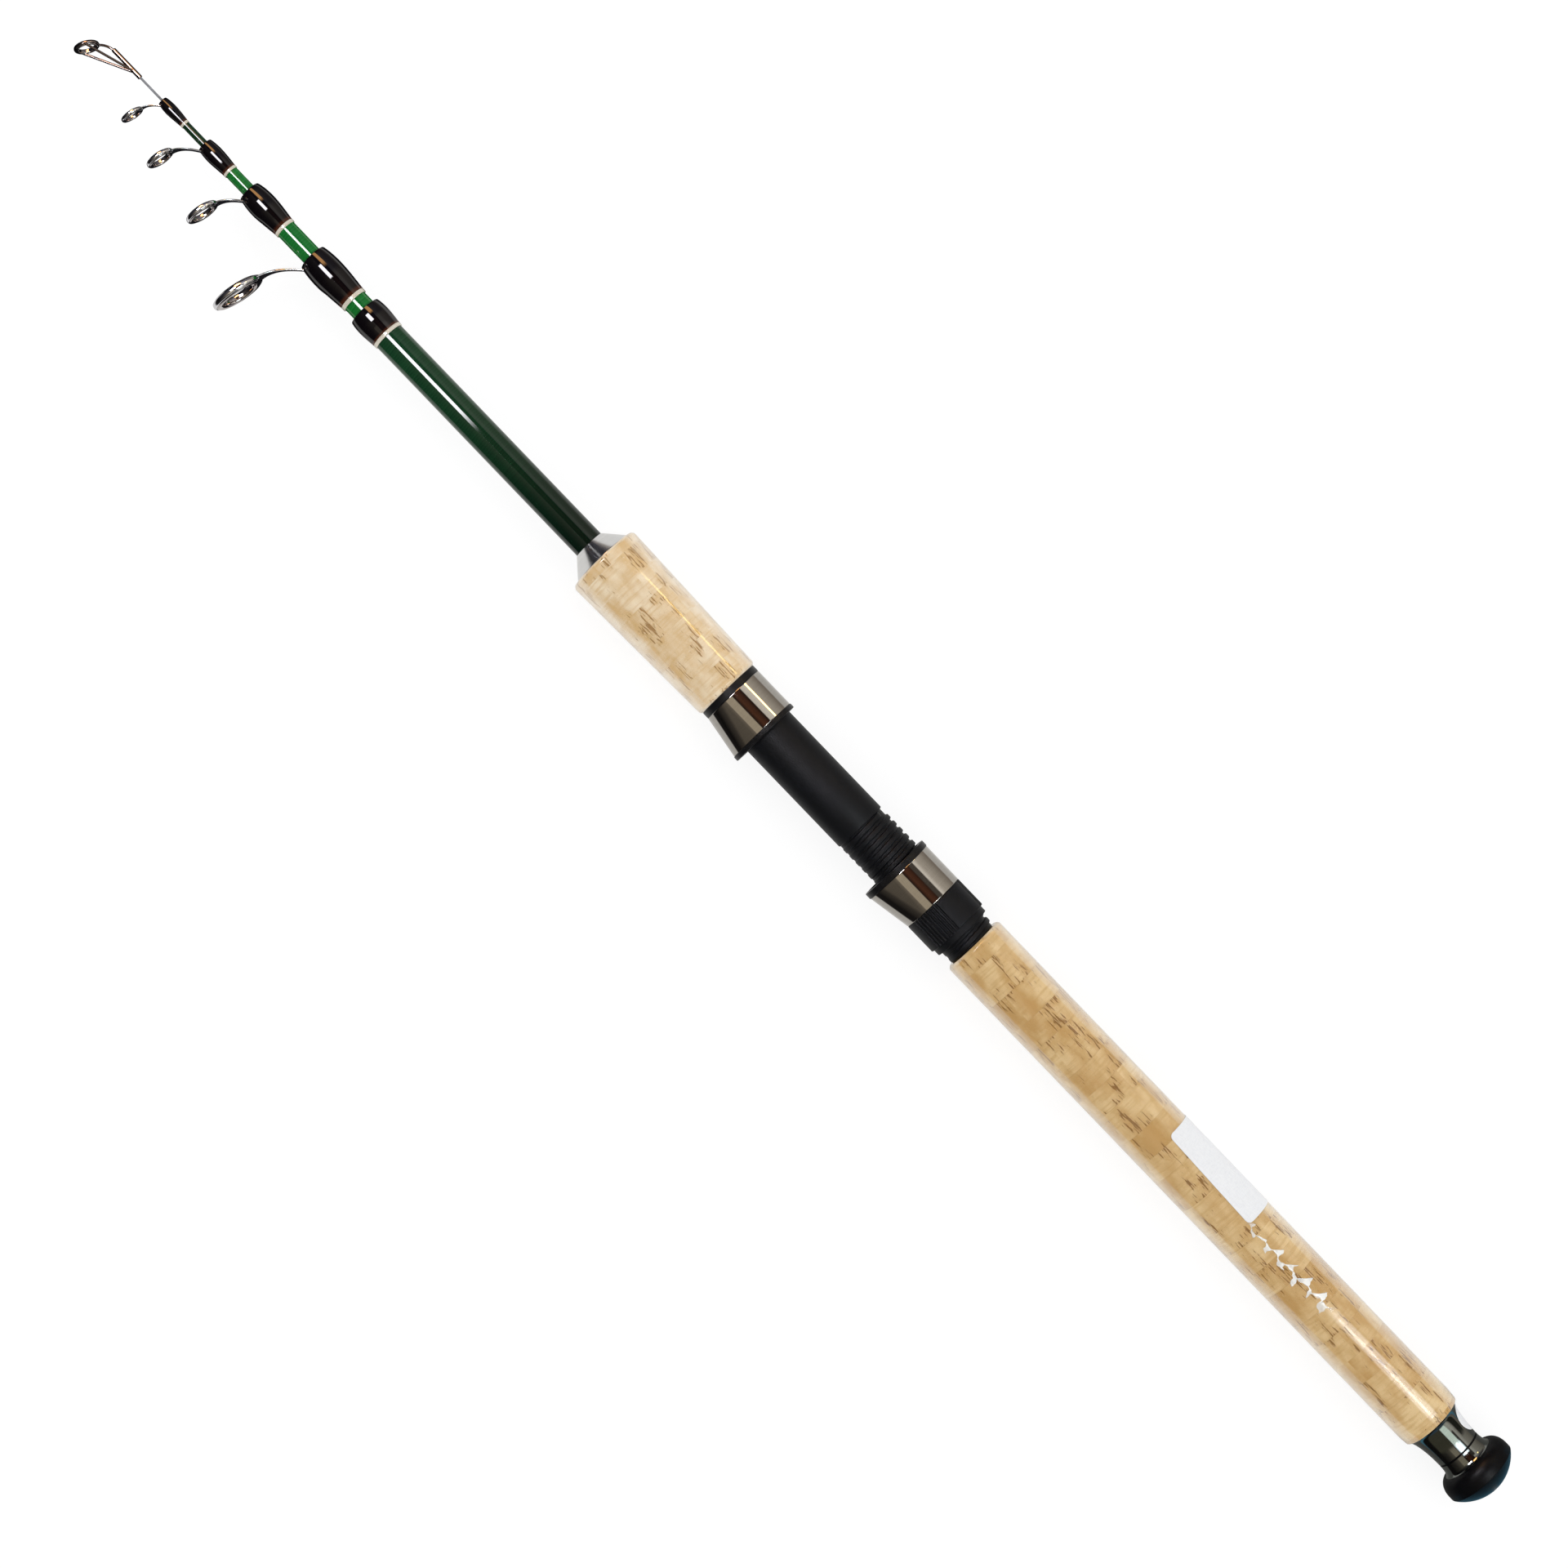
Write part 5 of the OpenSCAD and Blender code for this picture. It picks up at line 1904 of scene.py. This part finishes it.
@dataclass
class GuidedSection:
    """A section with its whipping and its line guide."""

    number: int  # counted from the base
    blank: Blank
    wrap: tuple[float, float, float, float]  # length and build of the whipping and of its trim
    ring: RingForm
    height: float  # of the ring's middle over the axis
    reach: float  # of the ring's middle in front of the whipping
    roll: float  # of the guide about the rod
    leg: tuple[float, float]  # width and thickness
    foot: tuple[float, float]  # length and thickness
    leg_back: float  # where the leg rises, behind the front of the whipping
    lacquer: BlankLacquer
    rake: float = 10.0  # lean of the ring towards the tip
    bend: float = 0.4  # share of the leg's length that keeps in line with the ring
    flare: float = 0.5  # width of the leg at the ring, as a share of the ring's diameter
    heel_rows: ClassVar[int] = 7
    leg_rows: ClassVar[int] = 28
    heel_taper: ClassVar[float] = 0.45
    squareness: ClassVar[float] = 2.3

    @property
    def name(self) -> str:
        """Name of the section's body and solids."""
        return f"section_{self.number}"

    def stem(self, front: float) -> Skin:
        """Works out the guide's foot and leg.

        The foot runs straight under the lacquer. The leg is the quadratic curve from the foot's
        end through a bend point in line with the ring to the ring's edge, which it hugs. With t
        from 0 to 1 along the leg, it widens with t cubed.

        Args:
            front: Front end of the whipping.

        Returns:
            The stem's skin, before the section's roll.
        """
        (leg_w, leg_t), (foot_len, foot_t) = self.leg, self.foot
        lean = np.array([*sin_cos(self.rake), 0.0])
        end = np.array([front + self.reach, self.height, 0.0]) - lean * self.ring.hoop
        root_x = front - self.leg_back
        foot_y = self.blank.radius(root_x - foot_len) + 2 * BOND + foot_t / 2
        start = np.array([root_x, foot_y, 0.0])
        mid = end - lean * np.linalg.norm(end - start) * self.bend
        t = np.linspace(0.0, 1.0, self.leg_rows)[:, None]
        heel = start + np.linspace(-foot_len, 0.0, self.heel_rows + 1)[:-1, None] * ALONG
        path = np.concatenate([heel, curved(t, start, mid, end)])
        along = unit(np.gradient(path, axis=0))
        out = np.stack([-along[:, 1], along[:, 0], along[:, 2]], axis=-1)
        t = np.concatenate([np.zeros(self.heel_rows), t[:, 0]])
        width = leg_w + (max(self.flare * self.ring.outer_d, leg_w) - leg_w) * t ** 3
        thick = foot_t + (leg_t - foot_t) * np.sqrt(t)
        thick[:self.heel_rows] *= np.linspace(self.heel_taper, 1.0, self.heel_rows)
        return swept(path, out, width, thick, self.squareness, self.ring.hoop)

    def build(self) -> None:
        """Makes the section's pieces."""
        name = self.name
        make_piece(f"{name}_tube", self.blank.tube(), self.lacquer, name, f"{name}_blank")
        wrap = Whipping(self.blank, *self.wrap)
        wrap.build_pieces(name, name, (self.roll, *self.foot))
        place = (wrap.front + self.reach, self.height, 0.0)
        band = self.ring.band().placed(place, self.rake)
        frame = Skin.joined([self.stem(wrap.front), band]).rolled(self.roll)
        make_piece(f"{name}_guide", frame, Plating(PlateTone.CHROME), name, f"{name}_guide_frame")
        wear = self.ring.wear().placed(place, self.rake).rolled(self.roll)
        make_piece(f"{name}_eye", wear, Plating(PlateTone.HARD), name, f"{name}_guide_ring")


@dataclass
class TipSection:
    """The solid tip with its tip top."""

    blank: Blank = Blank(758.3, 1.0068, 0.4568, 0.0)
    ring: RingForm = RingForm(10.0, 6.6, 1.4)
    tube_x: float = 744.1
    tube_front: float = 759.1
    tube_d: float = 1.9
    ring_x: float = 766.0
    height: float = 7.2
    rake: float = 28.0
    roll: float = 22.0
    wire_d: float = 1.0
    bridge_bend: Triple = (3.0, 0.4, 0.0)
    leg_spread: float = 70.0
    leg_root: float = 4.0

    def frame(self) -> Skin:
        """Works out the tip top: a tube, a bridge, two side legs and the ring's band.

        Returns:
            The frame's skin, before the tip's roll.
        """
        r, d = self.tube_d / 2, self.wire_d
        bore = self.blank.radius(self.tube_x) + BOND
        deep = self.blank.front + BOND
        tube = lathe([(deep, 0.0, 0.0), (deep, bore, 0.0), (self.tube_x, bore, 0.05),
                      (self.tube_x, r, 0.2), (self.tube_front, r, 0.4),
                      (self.tube_front, 0.0, 0.0)], capped=True)
        lean = np.array([*sin_cos(self.rake), 0.0])
        centre = np.array([self.ring_x, self.height, 0.0])
        front = np.array([self.tube_front, 0.0, 0.0])
        bridge = wire(front - d * ALONG, centre - lean * self.ring.hoop, d,
                      front + d * np.array(self.bridge_bend))
        s, c = sin_cos(self.leg_spread)
        legs = [wire(np.array([self.tube_x + self.leg_root, d / 2, way * d / 2]),
                     centre + self.ring.hoop * (lean * c + way * UP * s), d)
                for way in (-1.0, 1.0)]
        band = self.ring.band().placed(tuple(centre), self.rake)
        return Skin.joined([tube, bridge, *legs, band]).rolled(self.roll)

    def build(self) -> None:
        """Makes the tip's pieces."""
        body = "tip_section"
        make_piece("solid_tip", self.blank.rod(), TipGrain(), body, "tip_blank")
        make_piece("tip_top", self.frame(), Plating(PlateTone.WIRE), body, "tip_top_frame")
        place = (self.ring_x, self.height, 0.0)
        wear = self.ring.wear().placed(place, self.rake).rolled(self.roll)
        make_piece("tip_top_eye", wear, Plating(PlateTone.HARD), body, "tip_top_ring")


@dataclass(frozen=True)
class Panel:
    """A bright or dark patch of the surround."""

    along: tuple[float, float]  # where it starts and ends along the rod, in metres
    soft_along: float  # softness of those edges
    around: tuple[float, float]  # its first and last angle from straight up towards +Y
    soft_around: float  # softness of those edges
    light: Colour

    def mask(self, graph: Graph, x: Socket, angle: Socket) -> Socket:
        """Returns 1 inside the panel and 0 outside it."""
        return graph.times(graph.band(x, *self.along, self.soft_along),
                           graph.band(angle, *self.around, self.soft_around))


@dataclass
class Studio:
    """A pale floor, soft lights, a surround for reflections, and the camera above the rod.

    The lamp's place and the places on the surround are in metres, all else is in millimetres.
    """

    floor_z: float = -15.8
    floor_half: float = 60000.0
    eye: Triple = (380.5, 9.6, 1306.0)
    right: tuple[float, float] = (-0.69283, -0.72110)
    sensor: float = 36.0
    focal: float = 4200.0
    image: float = 1920.0
    lamp: Triple = (0.38, -0.95, 1.55)
    lamp_size: float = 1.5
    lamp_power: float = 4.5
    arch_r: float = 1600.0
    arch_half: float = 40000.0
    arch_gap: float = 1.0
    arch_lift: float = 0.4
    arch_rows: ClassVar[int] = 91
    half_sweep: ClassVar[float] = 120.0
    bands: ClassVar[list[tuple[float, Colour]]] = [
        (-100, (0.20, 0.17, 0.145)), (-91, (0.28, 0.25, 0.215)), (-74, (0.38, 0.345, 0.30)),
        (-58, (0.46, 0.42, 0.37)), (-47, (0.72, 0.68, 0.62)), (-31, (0.64, 0.60, 0.54)),
        (-29, (0.012, 0.008, 0.007)), (-18, (0.06, 0.024, 0.014)), (-6, (0.085, 0.034, 0.019)),
        (6, (0.016, 0.010, 0.008)), (8, (0.34, 0.30, 0.25)), (19, (0.26, 0.225, 0.18)),
        (38, (0.14, 0.12, 0.095)), (58, (0.045, 0.039, 0.033)), (84, (0.010, 0.009, 0.009)),
        (100, (0.012, 0.011, 0.011))]
    panels: ClassVar[list[Panel]] = [
        Panel((-1.0, 0.62), 0.02, (8.0, 33.0), 1.5, (0.64, 0.55, 0.42)),
        Panel((-1.0, 0.30), 0.02, (-42.0, -25.0), 2.0, (0.11, 0.095, 0.08)),
        Panel((0.79, 1.22), 0.015, (-7.0, 15.0), 1.0, (26.0, 25.4, 27.0)),
        Panel((1.14, 2.6), 0.10, (-38.0, -15.0), 2.5, (9.0, 4.6, 1.7)),
        Panel((0.385, 0.525), 0.01, (-57.0, -51.6), 0.6, (12.0, 8.4, 3.0)),
        Panel((-0.62, -0.262), 0.015, (-32.0, 1.0), 5.0, (5.6, 6.2, 6.8)),
        Panel((-0.62, -0.262), 0.015, (-18.0, -9.0), 2.5, (15.0, 15.0, 15.0)),
        Panel((-2.6, -0.62), 0.03, (5.0, 75.0), 3.0, (0.14, 0.13, 0.09)),
        Panel((-2.6, -0.62), 0.03, (-31.0, 1.0), 2.5, (2.2, 2.5, 2.3)),
        Panel((-2.6, -0.62), 0.03, (-104.0, -60.0), 4.0, (0.05, 0.05, 0.04)),
        Panel((-9.0, -2.6), 0.4, (-70.0, 70.0), 10.0, (0.09, 0.15, 0.21))]

    def camera(self) -> None:
        """Sets the camera straight above the rod, turned so that the rod lies across the image."""
        data = bpy.data.cameras.new("camera")
        data.sensor_width = self.sensor
        data.lens = self.sensor * self.focal / self.image
        obj = new_object("camera", data)
        obj.location = [v * MM for v in self.eye]
        obj.rotation_euler = (0.0, 0.0, math.atan2(self.right[1], self.right[0]))
        bpy.context.scene.camera = obj

    def seen(self, graph: Graph) -> Socket:
        """Tells rays from the camera, from a mirror or through glass from all others.

        Args:
            graph: Graph of a material or of the world.

        Returns:
            1 for such a ray and 0 for any other.
        """
        path = graph.node("ShaderNodeLightPath").outputs
        pair = graph.math("MAXIMUM", path["Is Camera Ray"], path["Is Glossy Ray"])
        return graph.math("MAXIMUM", pair, path["Is Transmission Ray"])

    def world(self) -> None:
        """Lights the room from all round, brighter low down than overhead."""
        made = bpy.data.worlds.new("studio")
        made.use_nodes = True
        graph = Graph(made.node_tree)
        way = graph.node("ShaderNodeTexCoord").outputs["Generated"]
        up = graph.math("MAXIMUM", graph.parts(way)[2], 0.0)
        sky = graph.blend(up, (1.34, 1.34, 1.34), (0.65, 0.65, 0.66))
        light = graph.blend(self.seen(graph), sky, (1.0, 1.0, 1.0))
        graph.fill(made.node_tree.nodes["Background"], {"Color": light})
        bpy.context.scene.world = made

    def lamps(self) -> None:
        """Hangs a soft panel above the rod, on the side away from the guides."""
        data = bpy.data.lights.new("key", "AREA")
        data.size, data.energy = self.lamp_size, self.lamp_power
        obj = new_object("key", data)
        obj.location = self.lamp
        obj.rotation_euler = (math.atan2(-self.lamp[1], self.lamp[2]), 0.0, 0.0)
        obj.visible_camera = obj.visible_glossy = obj.visible_transmission = False

    def sheet(self, name: str, points: Array, material: bpy.types.Material) -> bpy.types.Object:
        """Makes a backdrop from a grid of points.

        Args:
            name: Name of the backdrop.
            points: Grid of points by row and column, in millimetres.
            material: Its material.

        Returns:
            The backdrop.
        """
        rows, cols = points.shape[:2]
        i, j = np.meshgrid(np.arange(rows - 1), np.arange(cols - 1), indexing="ij")
        first = (i * cols + j).ravel()
        quads = np.stack([first, first + 1, first + cols + 1, first + cols], axis=-1)
        mesh = bpy.data.meshes.new(name)
        mesh.from_pydata((points.reshape(-1, 3) * MM).tolist(), [], quads.tolist())
        mesh.polygons.foreach_set("use_smooth", np.ones(len(quads), bool))
        mesh.materials.append(material)
        obj = new_object(name, mesh)
        return obj

    def floor(self) -> None:
        """Lays the floor, which looks white and keeps a soft shadow."""
        made, graph = new_material("pale_floor")
        seen = self.seen(graph)
        pale = graph.span(graph.noise(graph.here(), (9.0, 9.0, 9.0), 4.0), 0.2, 0.8, (0.84, 0.86))
        level = graph.times(pale, graph.minus(1.0, graph.times(seen, 0.72)))
        grey = graph.out("CombineColor", {0: level, 1: level, 2: level})
        graph.fill(made.node_tree.nodes["Principled BSDF"], {
            "Base Color": grey, "Roughness": 0.9, "Specular IOR Level": 0.0,
            "Emission Color": graph.blend(seen, (0.0, 0.0, 0.0), (0.82, 0.82, 0.82)),
            "Emission Strength": 1.0})
        ends = [-self.floor_half, self.floor_half]
        x, y = np.meshgrid(ends, ends, indexing="ij")
        self.sheet("floor", np.stack([x, y, np.full_like(x, self.floor_z)], axis=-1), made)

    def ground(self, graph: Graph, x: Socket, y: Socket) -> Socket:
        """Works out the light of the floor: pale, dark past the grips, blue at the butt.

        Args:
            graph: Graph of the surround's material.
            x: Place along the rod.
            y: Place across it.

        Returns:
            The colour socket.
        """
        edge = graph.span(graph.math("ABSOLUTE", y), 0.025, 0.045, (0.615, 0.74))
        past = graph.span(graph.minus(x, edge), -0.012, 0.012)
        light = graph.blend(past, (0.76, 0.75, 0.73), (0.012, 0.012, 0.014))
        light = graph.blend(graph.span(x, 0.042, 0.030), light, (0.20, 0.20, 0.19))
        return graph.blend(graph.span(x, 0.004, -0.012), light, (0.16, 0.44, 0.62))

    def surround(self, graph: Graph) -> Socket:
        """Works out the light of the surround.

        Bands of light and dark run along the pipe, brighter towards the butt and bluer past the
        tip. Its floor has its own light, and the panels lie over all of it.

        Args:
            graph: Graph of the surround's material.

        Returns:
            The colour socket.
        """
        x, y, z = graph.parts(graph.here())
        angle = graph.times(graph.math("ARCTAN2", y, z), math.degrees(1.0))
        half, full = self.half_sweep, 2.0 * self.half_sweep
        place = graph.math("DIVIDE", graph.plus(angle, half), full)
        base = graph.ramp(place, [((a + half) / full, colour) for a, colour in self.bands])
        bright = graph.blend(1.0, base, (1.6, 1.6, 1.6), "MULTIPLY")
        base = graph.blend(graph.span(x, 0.64, 0.58), base, bright)
        base = graph.blend(graph.span(x, 0.78, 0.95), base, (0.42, 0.44, 0.55), "MULTIPLY")
        over = graph.times(graph.span(x, 0.80, 0.95), graph.band(angle, -30.0, 7.0, 1.0))
        base = graph.blend(over, base, (0.016, 0.020, 0.042))
        base = graph.blend(graph.span(x, 1.5, 2.0), base, (0.024, 0.025, 0.032))
        under = graph.span(graph.math("ABSOLUTE", angle), 99.0, 103.0)
        base = graph.blend(under, base, self.ground(graph, x, y))
        for panel in self.panels:
            base = graph.blend(panel.mask(graph, x, angle), base, panel.light)
        return base

    def arch(self) -> None:
        """Sets a half pipe along the rod, which only polished surfaces see.

        A point is (x, R sin q, R cos q), where q is the angle from straight up towards +Y. The
        pipe's edges are drawn in along the floor.
        """
        made, graph = new_material("surround")
        nodes = made.node_tree.nodes
        nodes.remove(nodes["Principled BSDF"])
        glow = graph.out("Emission", {"Color": self.surround(graph), "Strength": 1.0})
        graph.fill(nodes["Material Output"], {"Surface": glow})
        q = np.radians(np.linspace(-90.0, 90.0, self.arch_rows))
        low = self.floor_z + self.arch_lift
        y = np.concatenate([[-self.arch_gap], self.arch_r * np.sin(q), [self.arch_gap]])
        z = np.concatenate([[low], np.maximum(self.arch_r * np.cos(q), low), [low]])
        z[[1, -2]] = low
        along = np.linspace(-self.arch_half, self.arch_half, 3)[:, None]
        obj = self.sheet("surround", np.stack(np.broadcast_arrays(along, y, z), axis=-1), made)
        obj.visible_camera = obj.visible_diffuse = obj.visible_shadow = False
        obj.visible_transmission = obj.visible_volume_scatter = False

    def build(self) -> None:
        """Sets up the whole studio."""
        bpy.context.scene.view_settings.view_transform = "Standard"
        self.camera()
        self.world()
        self.lamps()
        self.floor()
        self.arch()


# The last pair of each grip is the stretch of painted highlights on the film's wrinkles; the fore
# grip's lies off the grip.
FORE_GRIP = CorkGrip(
    "fore_grip", [(421.3, 13.0, 0.3), (422.3, 14.0, 0.6), (488.9, 15.5, 0.6), (489.9, 14.5, 0.3)],
    6.36, CorkGrade.CREAM, (-60.0, -50.0))
REAR_GRIP = CorkGrip(
    "rear_grip", [(35.2, 12.6, 0.1), (39.2, 13.0, 1.5), (285.8, 13.0, 0.6), (286.8, 12.0, 0.3)],
    6.62, CorkGrade.TAN, (96.0, 138.0))
SECTIONS = [
    GuidedSection(
        2, Blank(648.7, 5.2653, 4.9653, 0.7), wrap=(21.7, 1.55, 1.6, 0.6),
        ring=RingForm(21.7, 15.4, 2.2), height=30.0, reach=10.0, roll=0.0,
        leg=(3.0, 1.2), foot=(13.0, 0.8), leg_back=2.0, lacquer=GREEN),
    GuidedSection(
        3, Blank(683.4, 4.2121, 3.9921, 0.7), wrap=(18.7, 1.45, 1.4, 0.4),
        ring=RingForm(13.6, 9.2, 1.8), height=19.4, reach=5.4, roll=18.0,
        leg=(2.4, 1.0), foot=(11.2, 0.7), leg_back=1.8, lacquer=GREEN),
    GuidedSection(
        4, Blank(707.9, 3.2247, 2.6497, 0.6), wrap=(13.4, 0.9, 1.1, 0.3),
        ring=RingForm(11.5, 7.6, 1.6), height=17.0, reach=6.6, roll=22.0,
        leg=(2.0, 0.8), foot=(8.0, 0.4), leg_back=1.4, lacquer=GREEN),
    GuidedSection(
        5, Blank(731.2, 2.0317, 1.5967, 0.55), wrap=(11.8, 0.75, 1.0, 0.2),
        ring=RingForm(9.4, 6.4, 1.4), height=12.0, reach=4.0, roll=4.0,
        leg=(1.6, 0.7), foot=(7.0, 0.35), leg_back=1.2, lacquer=DARK_GREEN)]


def main() -> None:
    """Builds the studio and every sub-assembly."""
    logging.basicConfig(level=logging.INFO, format="%(name)s: %(message)s")
    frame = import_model()
    Studio().build()
    BaseTube().build()
    FORE_GRIP.build()
    REAR_GRIP.build()
    ReelSeat().build(frame)
    SlidingHood().build()
    LockNut().build()
    butt = ButtEnd()
    butt.build(frame)
    Stickers().build(butt)
    for section in SECTIONS:
        section.build()
    TipSection().build()


if __name__ == "__main__":
    main()
